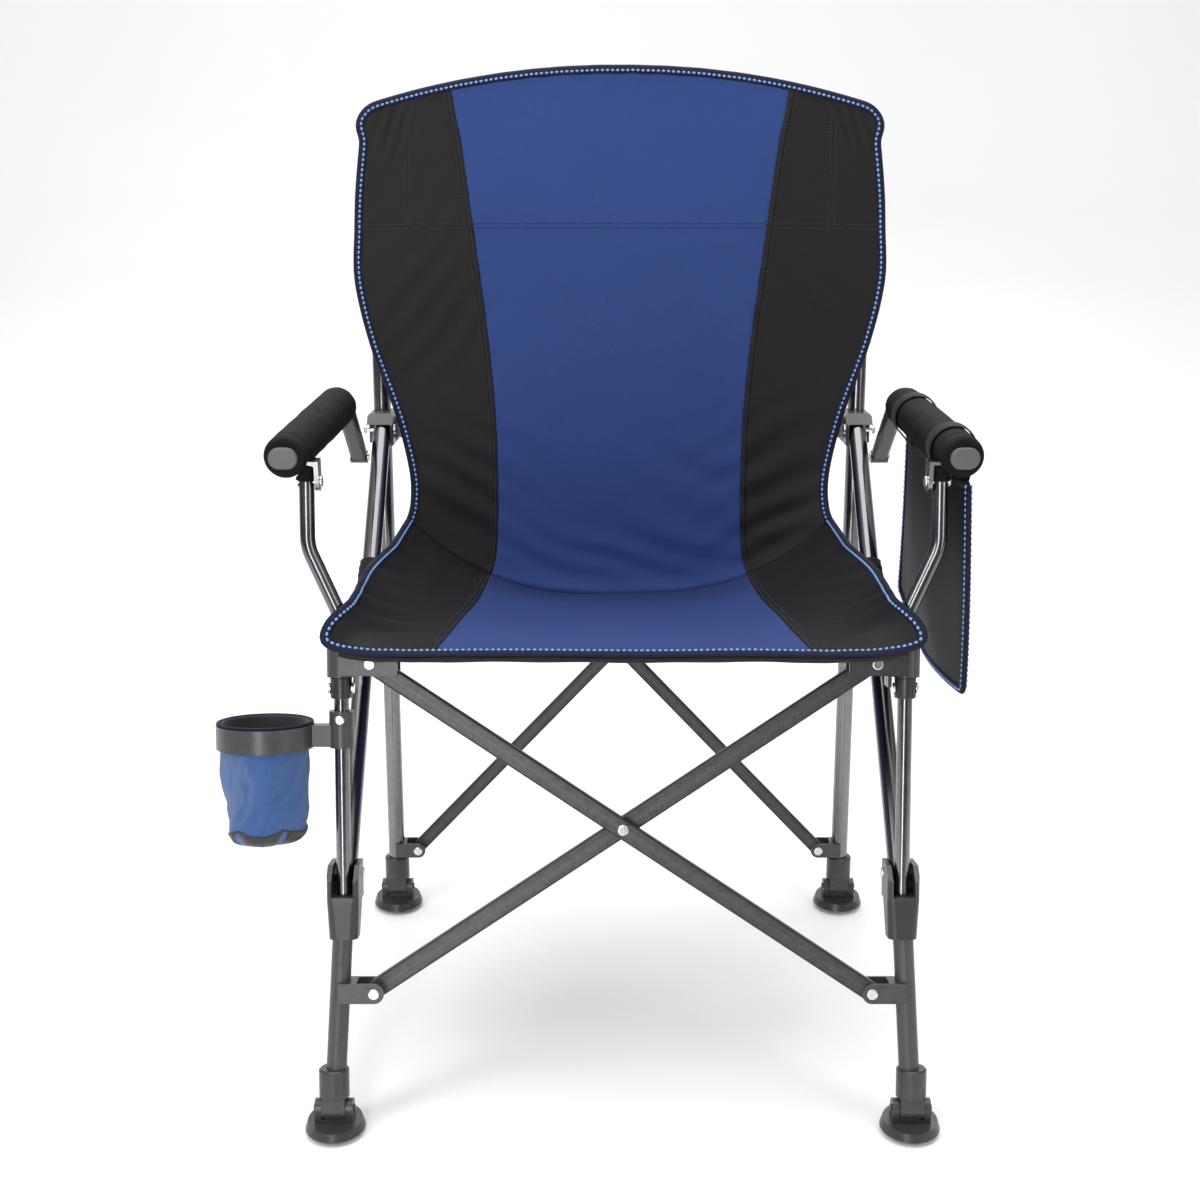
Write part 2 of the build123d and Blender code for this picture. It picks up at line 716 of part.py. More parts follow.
def storage_bag():
    """Flat pouch that hangs outboard of the right grip, open at the top."""
    front_y, rear_y = -94, 118
    front_x, rear_x = 314, 297.5
    unit = Vector(rear_x - front_x, rear_y - front_y, 0).normalized()
    outline = [(front_y, BAG_TOP_Z), (rear_y, BAG_TOP_Z), (116, 432), (20, 392), (front_y, 395)]
    hollow = [(front_y, BAG_TOP_Z + 5), (rear_y, BAG_TOP_Z + 5), (116, 432), (20, 392), (front_y, 395)]
    plan = Plane(
        origin=((front_x + rear_x) / 2, (front_y + rear_y) / 2, 380), x_dir=unit, z_dir=(0, 0, 1)
    )
    with BuildPart() as inside:
        with BuildSketch(plan):
            Rectangle(205, 18 - 2 * BAG_WALL)
        extrude(amount=240)
        with BuildSketch(Plane.YZ.offset(250)):
            with BuildLine():
                Polyline(*hollow, close=True)
            make_face()
            offset(amount=-BAG_WALL, kind=Kind.INTERSECTION)
        extrude(amount=120, mode=Mode.INTERSECT)
    with BuildPart() as bag:
        with BuildSketch(plan):
            Rectangle(209, 18)
        extrude(amount=240)
        with BuildSketch(Plane.YZ.offset(250)):
            with BuildLine():
                Polyline(*outline, close=True)
            make_face()
        extrude(amount=120, mode=Mode.INTERSECT)
        add(inside.part, mode=Mode.SUBTRACT)
    return bag.part


# ---------------------------------------------------------------- build
os.makedirs("parts", exist_ok=True)

for name, side in SIDES.items():
    foot, bend, top = post_points(side)
    post_bar = rod(foot, bend, TUBE_R)
    leg_bar = rod(*leg_axis(side), TUBE_R)

    write(back_post(side), f"{name}_back_post")
    write(slider(side), f"{name}_slider")
    write(slider_bracket(side), f"{name}_slider_bracket")
    write(rear_cross_bracket(side), f"{name}_rear_cross_bracket")
    write(front_leg(side), f"{name}_front_leg")
    write(hub(side), f"{name}_hub")
    write(front_cross_bracket(side), f"{name}_front_cross_bracket")
    write(leg_rivets(side), f"{name}_leg_rivets")
    write(side_brace(side), f"{name}_side_brace")
    write(arm_post(side), f"{name}_arm_post")
    write(stop_collar(side), f"{name}_stop_collar")
    write(seat_bracket(side), f"{name}_seat_bracket")
    write(arm_post_rivets(side), f"{name}_arm_post_rivets")
    bar = arm_bar(side)
    clip = arm_clip(side)
    write(bar, f"{name}_arm_bar")
    write(clip, f"{name}_arm_clip")
    write(arm_grip(side, bar, clip), f"{name}_arm_grip")
    write(arm_plug(side), f"{name}_arm_plug")
    for end, frame, foot_x, tube in (
        ("front", FRONT, FRONT_FOOT_X, leg_bar),
        ("rear", REAR, BACK_POST_X, post_bar),
    ):
        write(ankle(frame, foot_x, side, tube), f"{name}_{end}_ankle")
        write(foot_pad(frame, foot_x, side), f"{name}_{end}_foot")

    with BuildPart() as post_rivets:
        add(rear_rivet(side, REAR_LOW_U))
    write(post_rivets.part, f"{name}_post_rivet")
    with BuildPart() as slider_rivets:
        add(rear_rivet(side, REAR_TOP_U))
        add(brace_pin(side))
    write(slider_rivets.part, f"{name}_slider_rivets")
    arm_base = facing_x(side * ARM_REAR[0] - 9.7, ARM_REAR[1], ARM_REAR[2])
    write(rivet(arm_base, 19.4), f"{name}_arm_rear_rivet")

for end, frame, low, high, width, depth, end_x in (
    ("rear", REAR, REAR_LOW_U, REAR_TOP_U, REAR_BAR_WIDTH, REAR_BAR_DEPTH, REAR_PIVOT_X),
    ("front", FRONT, FRONT_LOW_U, FRONT_TOP_U, FRONT_BAR_WIDTH, FRONT_BAR_DEPTH, FRONT_PIVOT_X),
):
    write(cross_bar(frame, low, high, width, depth, -1, end_x), f"{end}_cross_bar_a")
    write(cross_bar(frame, low, high, width, depth, 1, end_x), f"{end}_cross_bar_b")
    centre = at(frame, 0, (low + high) / 2, -BAR_GAP - depth)
    pivot = Plane(origin=centre, x_dir=(1, 0, 0), z_dir=frame.z_dir)
    write(rivet(pivot, 2 * (depth + BAR_GAP)), f"{end}_cross_rivet")

write(cup_ring(), "cup_ring")
write(cup_screw(), "cup_screw")
write(cup_liner(), "cup_liner")
write(seat_sling(), "seat_sling")
write(back_sling(), "back_sling")
write(storage_bag(), "storage_bag")
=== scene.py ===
"""Folding camp chair: its cloth, foam and finishes, with a plain studio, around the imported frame."""

from __future__ import annotations

import json
import logging
import math
from dataclasses import dataclass, field
from enum import Enum

import bpy
import numpy as np
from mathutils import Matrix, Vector, noise


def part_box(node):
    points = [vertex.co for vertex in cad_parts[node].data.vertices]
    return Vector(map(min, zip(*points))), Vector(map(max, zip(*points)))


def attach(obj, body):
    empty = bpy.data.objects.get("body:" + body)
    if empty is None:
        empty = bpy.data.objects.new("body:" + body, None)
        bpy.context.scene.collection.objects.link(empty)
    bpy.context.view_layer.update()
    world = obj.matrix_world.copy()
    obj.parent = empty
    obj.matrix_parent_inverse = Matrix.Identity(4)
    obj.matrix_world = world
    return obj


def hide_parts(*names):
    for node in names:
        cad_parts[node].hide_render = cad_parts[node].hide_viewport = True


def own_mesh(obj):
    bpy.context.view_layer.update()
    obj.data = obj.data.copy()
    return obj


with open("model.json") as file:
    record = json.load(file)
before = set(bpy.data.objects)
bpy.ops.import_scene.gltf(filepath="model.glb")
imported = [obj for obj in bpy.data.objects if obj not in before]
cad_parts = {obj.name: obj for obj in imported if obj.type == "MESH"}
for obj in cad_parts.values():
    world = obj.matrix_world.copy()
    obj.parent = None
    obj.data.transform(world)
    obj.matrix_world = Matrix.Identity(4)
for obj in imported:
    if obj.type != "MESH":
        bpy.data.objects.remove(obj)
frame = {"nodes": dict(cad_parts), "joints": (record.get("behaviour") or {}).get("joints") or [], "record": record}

LOG = logging.getLogger("camp_chair")
Faces = list[tuple[int, ...]]
Triple = tuple[float, float, float]
SIDES = {"left": -1, "right": 1}
SIDEWAYS = (1.0, 0.0, 0.0)
UPWARD = (0.0, 0.0, 1.0)


# ------------------------------------------------------------------ shared shader effects
class Coords(Enum):
    """Where an effect reads its coordinates."""

    CLOTH = "cloth"
    OBJECT = "object"


class Tree:
    """Small helper that adds and wires shader nodes."""

    def __init__(self, tree: bpy.types.NodeTree) -> None:
        """Keeps the node tree that it works on."""
        self.tree = tree

    def node(self, kind: str, inputs: dict | None = None, **settings) -> bpy.types.Node:
        """Adds a node.

        Args:
            kind: Blender's node type.
            inputs: Socket name or index to a value or to another socket.
            settings: Node properties.

        Returns:
            The new node.
        """
        made = self.tree.nodes.new(kind)
        for key, value in settings.items():
            setattr(made, key, value)
        for key, value in (inputs or {}).items():
            if isinstance(value, bpy.types.NodeSocket):
                self.tree.links.new(value, made.inputs[key])
            else:
                made.inputs[key].default_value = value
        return made

    def link(self, source: bpy.types.NodeSocket, target: bpy.types.NodeSocket) -> None:
        """Wires one socket to another."""
        self.tree.links.new(source, target)

    def speckle(
        self, vector: bpy.types.NodeSocket, scale: bpy.types.NodeSocket | float, detail: float
    ) -> bpy.types.NodeSocket:
        """Adds a noise texture and gives its value."""
        inputs = {"Vector": vector, "Scale": scale, "Detail": detail}
        return self.node("ShaderNodeTexNoise", inputs).outputs[0]

    def effect(self, group: bpy.types.NodeTree, **inputs) -> bpy.types.Node:
        """Adds one of the shared effects."""
        return self.node("ShaderNodeGroup", inputs, node_tree=group)

    def emboss(
        self, shader: bpy.types.Node, height: bpy.types.NodeSocket, strength: float, distance: float
    ) -> None:
        """Gives a shader's surface a fine relief."""
        bump = self.node("ShaderNodeBump", {"Height": height, "Strength": strength, "Distance": distance})
        self.link(bump.outputs[0], shader.inputs["Normal"])

    def math(self, operation: str, *values) -> bpy.types.NodeSocket:
        """Adds a Math node and gives its result."""
        inputs = dict(enumerate(values))
        return self.node("ShaderNodeMath", inputs, operation=operation).outputs[0]

    def mix(
        self, factor: bpy.types.NodeSocket | float, low: bpy.types.NodeSocket | tuple,
        high: bpy.types.NodeSocket | tuple,
    ) -> bpy.types.NodeSocket:
        """Adds a colour mix and gives its result."""
        made = self.node("ShaderNodeMix", data_type="RGBA")
        for index, value in ((0, factor), (6, low), (7, high)):
            if isinstance(value, bpy.types.NodeSocket):
                self.tree.links.new(value, made.inputs[index])
            else:
                made.inputs[index].default_value = value
        return made.outputs[2]

    def coordinates(self, coords: Coords) -> bpy.types.NodeSocket:
        """Gives the socket that an effect reads its place from."""
        if coords is Coords.CLOTH:
            return self.node("ShaderNodeUVMap", uv_map=Coords.CLOTH.value).outputs["UV"]
        return self.node("ShaderNodeTexCoord").outputs["Object"]


def new_group(name: str, inputs: dict[str, tuple], outputs: dict[str, str]) -> tuple:
    """Makes an empty shader group with named sockets.

    Args:
        name: The group's name.
        inputs: Name to (socket type, default).
        outputs: Name to socket type.

    Returns:
        The group, its Tree helper, its input node and its output node.
    """
    group = bpy.data.node_groups.new(name, "ShaderNodeTree")
    for key, (kind, default) in inputs.items():
        socket = group.interface.new_socket(key, in_out="INPUT", socket_type=kind)
        if default is not None:
            socket.default_value = default
    for key, kind in outputs.items():
        group.interface.new_socket(key, in_out="OUTPUT", socket_type=kind)
    entry = group.nodes.new("NodeGroupInput")
    exit_node = group.nodes.new("NodeGroupOutput")
    return group, Tree(group), entry, exit_node


class Effects:
    """The node groups that several finishes share, each made once."""

    def __init__(self) -> None:
        """Builds every group."""
        self.weave = self._weave()
        self.mottle = self._mottle()
        self.wear = self._wear()
        self.dust = self._dust()

    @staticmethod
    def _weave() -> bpy.types.NodeTree:
        """Plain weave: height of the threads and a shade that varies from thread to thread."""
        group, tree, entry, leave = new_group(
            "cloth_weave",
            {
                "Vector": ("NodeSocketVector", None),
                "Warp": ("NodeSocketFloat", 900.0),
                "Weft": ("NodeSocketFloat", 900.0),
            },
            {"Height": "NodeSocketFloat", "Shade": "NodeSocketFloat"},
        )
        split = tree.node("ShaderNodeSeparateXYZ", {0: entry.outputs["Vector"]})
        waves = []
        for index, threads in enumerate(("Warp", "Weft")):
            turns = tree.math("MULTIPLY", split.outputs[index], entry.outputs[threads])
            waves.append(tree.math("SINE", tree.math("MULTIPLY", turns, math.tau)))
        cross = tree.math("MULTIPLY", *waves)
        slub = tree.speckle(entry.outputs["Vector"], 420.0, 3.0)
        height = tree.math("ADD", tree.math("MULTIPLY", cross, 0.5), tree.math("MULTIPLY", slub, 0.7))
        tree.link(height, leave.inputs["Height"])
        shade = tree.math("MULTIPLY_ADD", height, 0.45, 0.68)
        tree.link(shade, leave.inputs["Shade"])
        return group

    @staticmethod
    def _mottle() -> bpy.types.NodeTree:
        """Slow uneven tone, as dye, powder coat and moulding have."""
        group, tree, entry, leave = new_group(
            "uneven_tone",
            {
                "Vector": ("NodeSocketVector", None),
                "Scale": ("NodeSocketFloat", 30.0),
                "Amount": ("NodeSocketFloat", 0.2),
            },
            {"Tone": "NodeSocketFloat"},
        )
        broad = tree.speckle(entry.outputs["Vector"], entry.outputs["Scale"], 5.0)
        fine_scale = tree.math("MULTIPLY", entry.outputs["Scale"], 14.0)
        fine = tree.speckle(entry.outputs["Vector"], fine_scale, 4.0)
        both = tree.math("ADD", tree.math("MULTIPLY", broad, 0.7), tree.math("MULTIPLY", fine, 0.3))
        centred = tree.math("SUBTRACT", both, 0.5)
        tone = tree.math("MULTIPLY_ADD", centred, tree.math("MULTIPLY", entry.outputs["Amount"], 2.0), 1.0)
        tree.link(tone, leave.inputs["Tone"])
        return group

    @staticmethod
    def _wear() -> bpy.types.NodeTree:
        """Rubbed outer edges, broken up by noise."""
        group, tree, entry, leave = new_group(
            "edge_wear",
            {"Vector": ("NodeSocketVector", None), "Reach": ("NodeSocketFloat", 0.06)},
            {"Mask": "NodeSocketFloat"},
        )
        pointy = tree.node("ShaderNodeNewGeometry").outputs["Pointiness"]
        patchy = tree.math("SUBTRACT", tree.speckle(entry.outputs["Vector"], 160.0, 6.0), 0.5)
        lifted = tree.math("ADD", pointy, tree.math("MULTIPLY", patchy, 0.12))
        top = tree.math("ADD", entry.outputs["Reach"], 0.56)
        mask = tree.node("ShaderNodeMapRange", {"Value": lifted, "From Min": 0.54, "From Max": top})
        tree.link(mask.outputs[0], leave.inputs["Mask"])
        return group

    @staticmethod
    def _dust() -> bpy.types.NodeTree:
        """Light dust that settles on faces that look up."""
        group, tree, entry, leave = new_group(
            "settled_dust",
            {"Vector": ("NodeSocketVector", None), "Amount": ("NodeSocketFloat", 0.1)},
            {"Mask": "NodeSocketFloat"},
        )
        normal = tree.node("ShaderNodeNewGeometry").outputs["Normal"]
        up = tree.node("ShaderNodeSeparateXYZ", {0: normal}).outputs[2]
        facing = tree.node("ShaderNodeMapRange", {"Value": up, "From Min": 0.2, "From Max": 1.0})
        settled = tree.math("MULTIPLY", facing.outputs[0], tree.speckle(entry.outputs["Vector"], 90.0, 8.0))
        mask = tree.math("MULTIPLY", settled, entry.outputs["Amount"])
        tree.link(mask, leave.inputs["Mask"])
        return group


EFFECTS = Effects()


# ------------------------------------------------------------------ finishes
@dataclass(frozen=True)
class Finish:
    """What every finish has: a name, a colour and how rough it is."""

    name: str
    colour: Triple
    roughness: float

    def start(self) -> tuple[bpy.types.Material, Tree, bpy.types.Node]:
        """Makes an empty material with a Principled shader."""
        material = bpy.data.materials.new(self.name)
        material.use_nodes = True
        tree = Tree(material.node_tree)
        shader = next(n for n in material.node_tree.nodes if n.type == "BSDF_PRINCIPLED")
        material.diffuse_color = (*self.colour, 1.0)
        return material, tree, shader

    def tinted(self, tree: Tree, shade: bpy.types.NodeSocket) -> bpy.types.NodeSocket:
        """Gives the base colour multiplied by a value that varies over the surface."""
        scaled = tree.node("ShaderNodeVectorMath", {0: self.colour, "Scale": shade}, operation="SCALE")
        return scaled.outputs[0]

    def build(self) -> bpy.types.Material:
        """Makes the material."""
        raise NotImplementedError


@dataclass(frozen=True)
class ClothFinish(Finish):
    """Woven polyester."""

    threads: tuple[float, float] = (900.0, 900.0)
    bump: float = 0.25
    sheen: float = 0.25
    slack: float = 0.16
    gloss: float = 0.3

    def build(self) -> bpy.types.Material:
        """Weave and slub, uneven dye, and a light sheen."""
        material, tree, shader = self.start()
        place = tree.coordinates(Coords.CLOTH)
        warp, weft = self.threads
        weave = tree.effect(EFFECTS.weave, Vector=place, Warp=warp, Weft=weft)
        tone = tree.effect(EFFECTS.mottle, Vector=place, Scale=9.0, Amount=self.slack)
        shade = tree.math("MULTIPLY", weave.outputs["Shade"], tone.outputs["Tone"])
        tree.link(self.tinted(tree, shade), shader.inputs["Base Color"])
        rough = tree.math("MULTIPLY_ADD", weave.outputs["Height"], -0.12, self.roughness + 0.05)
        tree.link(rough, shader.inputs["Roughness"])
        tree.emboss(shader, weave.outputs["Height"], self.bump, 0.0004)
        shader.inputs["Sheen Weight"].default_value = self.sheen
        shader.inputs["Sheen Roughness"].default_value = 0.45
        shader.inputs["Specular IOR Level"].default_value = self.gloss
        return material


@dataclass(frozen=True)
class MetalFinish(Finish):
    """Coated or plated steel."""

    metallic: float = 1.0
    texture: float = 0.0
    texture_scale: float = 300.0
    coat: float = 0.0
    worn: Triple = (0.45, 0.45, 0.46)

    def build(self) -> bpy.types.Material:
        """Fine texture in the coat, uneven gloss, and edges rubbed to bare metal."""
        material, tree, shader = self.start()
        place = tree.coordinates(Coords.OBJECT)
        tone = tree.effect(EFFECTS.mottle, Vector=place, Scale=40.0, Amount=0.22)
        wear = tree.effect(EFFECTS.wear, Vector=place, Reach=0.07)
        dust = tree.effect(EFFECTS.dust, Vector=place, Amount=0.05)
        base = self.tinted(tree, tone.outputs["Tone"])
        rubbed = tree.mix(tree.math("MULTIPLY", wear.outputs["Mask"], 0.7), base, (*self.worn, 1.0))
        dusty = tree.mix(dust.outputs["Mask"], rubbed, (0.5, 0.48, 0.45, 1.0))
        tree.link(dusty, shader.inputs["Base Color"])
        rough = tree.math("MULTIPLY", tone.outputs["Tone"], self.roughness)
        dulled = tree.math("ADD", rough, tree.math("MULTIPLY", dust.outputs["Mask"], 0.4))
        tree.link(dulled, shader.inputs["Roughness"])
        shader.inputs["Metallic"].default_value = self.metallic
        shader.inputs["Coat Weight"].default_value = self.coat
        shader.inputs["Coat Roughness"].default_value = 0.12
        tree.emboss(shader, tree.speckle(place, self.texture_scale, 2.0), 0.05 + self.texture, 0.0008)
        return material


@dataclass(frozen=True)
class MouldedFinish(Finish):
    """Moulded plastic or rubber."""

    grain: float = 0.15
    grain_scale: float = 900.0
    gloss: float = 0.5
    worn: Triple = (0.42, 0.42, 0.41)

    def build(self) -> bpy.types.Material:
        """Spark-eroded grain, slight flow marks, paler edges and a little dust."""
        material, tree, shader = self.start()
        place = tree.coordinates(Coords.OBJECT)
        tone = tree.effect(EFFECTS.mottle, Vector=place, Scale=25.0, Amount=0.16)
        wear = tree.effect(EFFECTS.wear, Vector=place, Reach=0.10)
        dust = tree.effect(EFFECTS.dust, Vector=place, Amount=0.06)
        base = self.tinted(tree, tone.outputs["Tone"])
        paler = tree.mix(tree.math("MULTIPLY", wear.outputs["Mask"], 0.35), base, (*self.worn, 1.0))
        dusty = tree.mix(dust.outputs["Mask"], paler, (0.45, 0.43, 0.40, 1.0))
        tree.link(dusty, shader.inputs["Base Color"])
        rough = tree.math("MULTIPLY", tone.outputs["Tone"], self.roughness)
        tree.link(rough, shader.inputs["Roughness"])
        tree.emboss(shader, tree.speckle(place, self.grain_scale, 3.0), self.grain, 0.0005)
        shader.inputs["Specular IOR Level"].default_value = self.gloss
        return material


@dataclass
class Finishes:
    """Every finish on the chair, by the place it is used."""

    bright_tube: bpy.types.Material = field(init=False)
    dark_tube: bpy.types.Material = field(init=False)
    black_steel: bpy.types.Material = field(init=False)
    rivet_steel: bpy.types.Material = field(init=False)
    grey_plastic: bpy.types.Material = field(init=False)
    pale_plastic: bpy.types.Material = field(init=False)
    foam: bpy.types.Material = field(init=False)
    black_cloth: bpy.types.Material = field(init=False)
    blue_cloth: bpy.types.Material = field(init=False)
    piping: bpy.types.Material = field(init=False)
    webbing: bpy.types.Material = field(init=False)
    pale_thread: bpy.types.Material = field(init=False)
    dark_thread: bpy.types.Material = field(init=False)
    cup_cloth: bpy.types.Material = field(init=False)
    cup_base: bpy.types.Material = field(init=False)

    def __post_init__(self) -> None:
        """Builds the materials."""
        made = (
            MetalFinish(
                "bright_tube", (0.150, 0.146, 0.155), 0.19,
                texture_scale=60.0, coat=0.35, worn=(0.25, 0.25, 0.25),
            ),
            MetalFinish(
                "dark_tube", (0.020, 0.019, 0.021), 0.36,
                metallic=0.35, texture=0.35, texture_scale=420.0, worn=(0.08, 0.08, 0.085),
            ),
            MetalFinish("black_steel", (0.012, 0.012, 0.012), 0.42, metallic=0.4, texture=0.1),
            MetalFinish(
                "rivet_steel", (0.72, 0.72, 0.71), 0.22,
                texture_scale=500.0, worn=(0.85, 0.85, 0.84),
            ),
            MouldedFinish("grey_plastic", (0.019, 0.021, 0.020), 0.32, worn=(0.11, 0.11, 0.11)),
            MouldedFinish("pale_plastic", (0.085, 0.090, 0.090), 0.40, worn=(0.2, 0.2, 0.2)),
            MouldedFinish(
                "foam", (0.0060, 0.0058, 0.0062), 0.90,
                grain=0.8, grain_scale=700.0, gloss=0.18, worn=(0.02, 0.02, 0.02),
            ),
            ClothFinish("black_cloth", (0.0086, 0.0072, 0.0078), 0.56, sheen=0.025, gloss=0.22),
            ClothFinish("blue_cloth", (0.0210, 0.052, 0.205), 0.70, sheen=0.03, gloss=0.25),
            ClothFinish(
                "piping", (0.006, 0.008, 0.030), 0.62,
                threads=(500.0, 1400.0), bump=0.4, sheen=0.03, gloss=0.2,
            ),
            ClothFinish("webbing", (0.010, 0.010, 0.011), 0.70, threads=(450.0, 700.0), bump=0.5, sheen=0.05),
            ClothFinish("pale_thread", (0.22, 0.42, 0.80), 0.50, threads=(2500.0, 2500.0), bump=0.3),
            ClothFinish("dark_thread", (0.008, 0.009, 0.018), 0.60, threads=(2500.0, 2500.0), bump=0.3),
            ClothFinish(
                "cup_cloth", (0.046, 0.120, 0.325), 0.74,
                threads=(1100.0, 620.0), bump=0.9, slack=0.26,
            ),
            ClothFinish("cup_base", (0.03, 0.03, 0.032), 0.66, threads=(900.0, 900.0), bump=0.4),
        )
        for finish in made:
            setattr(self, finish.name, finish.build())


# ------------------------------------------------------------------ mesh tools
def run_along(path: np.ndarray) -> np.ndarray:
    """Gives the distance run from the start at each point of a path."""
    return np.concatenate([[0], np.cumsum(np.linalg.norm(np.diff(path, axis=0), axis=1))])


def same_way(direction: Triple, count: int) -> np.ndarray:
    """Repeats one direction, a row for each point."""
    return np.tile(np.array(direction), (count, 1))


def eased(path: np.ndarray, passes: int) -> np.ndarray:
    """Rounds the small kinks of a path, whose ends stay where they are."""
    smooth = path.copy()
    for _ in range(passes):
        smooth[1:-1] = (smooth[:-2] + 2 * smooth[1:-1] + smooth[2:]) / 4
    return smooth


def smooth_rows(points: list[tuple[float, ...]], steps: int) -> np.ndarray:
    """Runs a smooth curve through rows of numbers.

    Args:
        points: The rows that the curve passes through.
        steps: How many samples to give.

    Returns:
        An array of that many rows, evenly spaced along the curve.
    """
    rows = np.array(points, float)
    padded = np.vstack([2 * rows[0] - rows[1], rows, 2 * rows[-1] - rows[-2]])
    fine = []
    for i in range(1, len(padded) - 2):
        a, b, c, d = padded[i - 1 : i + 3]
        for t in np.linspace(0, 1, 24, endpoint=False):
            bend = (2 * a - 5 * b + 4 * c - d) * t**2
            twist = (3 * b - a - 3 * c + d) * t**3
            fine.append(0.5 * (2 * b + (c - a) * t + bend + twist))
    fine.append(padded[-2])
    fine = np.array(fine)
    run = run_along(fine)
    at = np.linspace(0, run[-1], steps)
    return np.stack([np.interp(at, run, fine[:, k]) for k in range(fine.shape[1])], axis=1)


def unit(rows: np.ndarray) -> np.ndarray:
    """Scales each row to length 1."""
    return rows / np.maximum(np.linalg.norm(rows, axis=-1, keepdims=True), 1e-9)


def grid_faces(rows: int, columns: int, loop: bool = False) -> Faces:
    """Lists the quads of a grid of vertices, row by row."""
    last = columns if loop else columns - 1
    faces = []
    for row in range(rows - 1):
        here, below = row * columns, (row + 1) * columns
        for c in range(last):
            beside = (c + 1) % columns
            faces.append((here + c, here + beside, below + beside, below + c))
    return faces


def make_piece(
    name: str,
    verts: np.ndarray,
    faces: Faces,
    material: bpy.types.Material,
    uv: np.ndarray | None = None,
) -> bpy.types.Object:
    """Makes a smooth-shaded mesh object.

    Args:
        name: The piece's name.
        verts: Corner positions.
        faces: Corner numbers of each face.
        material: What it is dressed in.
        uv: Cloth coordinates of each corner, in metres; X and Z where left out.

    Returns:
        The new object.
    """
    mesh = bpy.data.meshes.new(name)
    mesh.from_pydata(verts.tolist(), [], faces)
    mesh.validate()
    place = verts[:, (0, 2)] if uv is None else uv
    layer = mesh.uv_layers.new(name=Coords.CLOTH.value)
    corners = np.zeros(len(mesh.loops), int)
    mesh.loops.foreach_get("vertex_index", corners)
    layer.data.foreach_set("uv", place[corners].astype(np.float32).ravel())
    mesh.polygons.foreach_set("use_smooth", [True] * len(mesh.polygons))
    mesh.materials.append(material)
    made = bpy.data.objects.new(name, mesh)
    bpy.context.scene.collection.objects.link(made)
    return made


def apply_modifiers(piece: bpy.types.Object) -> None:
    """Turns a piece's modifiers into its mesh."""
    bpy.context.view_layer.update()
    ready = piece.evaluated_get(bpy.context.evaluated_depsgraph_get())
    mesh = bpy.data.meshes.new_from_object(ready)
    piece.modifiers.clear()
    piece.data = mesh


def thicken(piece: bpy.types.Object, thickness: float, offset: float = 0.0) -> None:
    """Gives a sheet its thickness."""
    solid = piece.modifiers.new("thickness", "SOLIDIFY")
    solid.thickness = thickness
    solid.offset = offset
    apply_modifiers(piece)


def sweep(
    path: np.ndarray, normals: np.ndarray, half_width: np.ndarray | float, half_depth: np.ndarray | float,
    segments: int = 12, closed: bool = False,
) -> tuple[np.ndarray, Faces, np.ndarray]:
    """Sweeps an oval along a path.

    Args:
        path: Points of the centre line.
        normals: The direction of the oval's depth at each point.
        half_width: Half the oval across the path, one number or one per point.
        half_depth: Half the oval along the normal, one number or one per point.
        segments: Corners round the oval.
        closed: Whether the path joins its own start.

    Returns:
        Vertices, faces and cloth coordinates.
    """
    count = len(path)
    ahead = np.roll(path, -1, axis=0) - np.roll(path, 1, axis=0)
    if not closed:
        ahead[0], ahead[-1] = path[1] - path[0], path[-1] - path[-2]
    ahead = unit(ahead)
    across = unit(np.cross(ahead, normals))
    depth = unit(np.cross(across, ahead))
    angle = np.linspace(0, math.tau, segments, endpoint=False)
    wide = np.broadcast_to(half_width, count)[:, None, None]
    deep = np.broadcast_to(half_depth, count)[:, None, None]
    ring = wide * across[:, None] * np.cos(angle)[None, :, None]
    ring = ring + deep * depth[:, None] * np.sin(angle)[None, :, None]
    verts = (path[:, None] + ring).reshape(-1, 3)
    faces = grid_faces(count, segments, loop=True)
    if closed:
        last = (count - 1) * segments
        faces += [(last + c, last + (c + 1) % segments, (c + 1) % segments, c) for c in range(segments)]
    else:
        faces.append(tuple(range(segments - 1, -1, -1)))
        faces.append(tuple((count - 1) * segments + c for c in range(segments)))
    run = run_along(path)
    girth = angle * float(np.mean(np.broadcast_to(half_width, count)))
    uv = np.stack([np.tile(girth, count), np.repeat(run, segments)], axis=1)
    return verts, faces, uv


def resample(path: np.ndarray, others: list[np.ndarray], pitch: float) -> tuple[np.ndarray, list[np.ndarray]]:
    """Spaces a path evenly, and other rows with it.

    Args:
        path: The path's points.
        others: Rows that go with the points.
        pitch: The wanted distance from point to point.

    Returns:
        The new path and the new rows.
    """
    run = run_along(path)
    at = np.linspace(0, run[-1], max(2, round(run[-1] / pitch) + 1))
    even = [np.stack([np.interp(at, run, rows[:, k]) for k in range(3)], axis=1) for rows in (path, *others)]
    return even[0], even[1:]


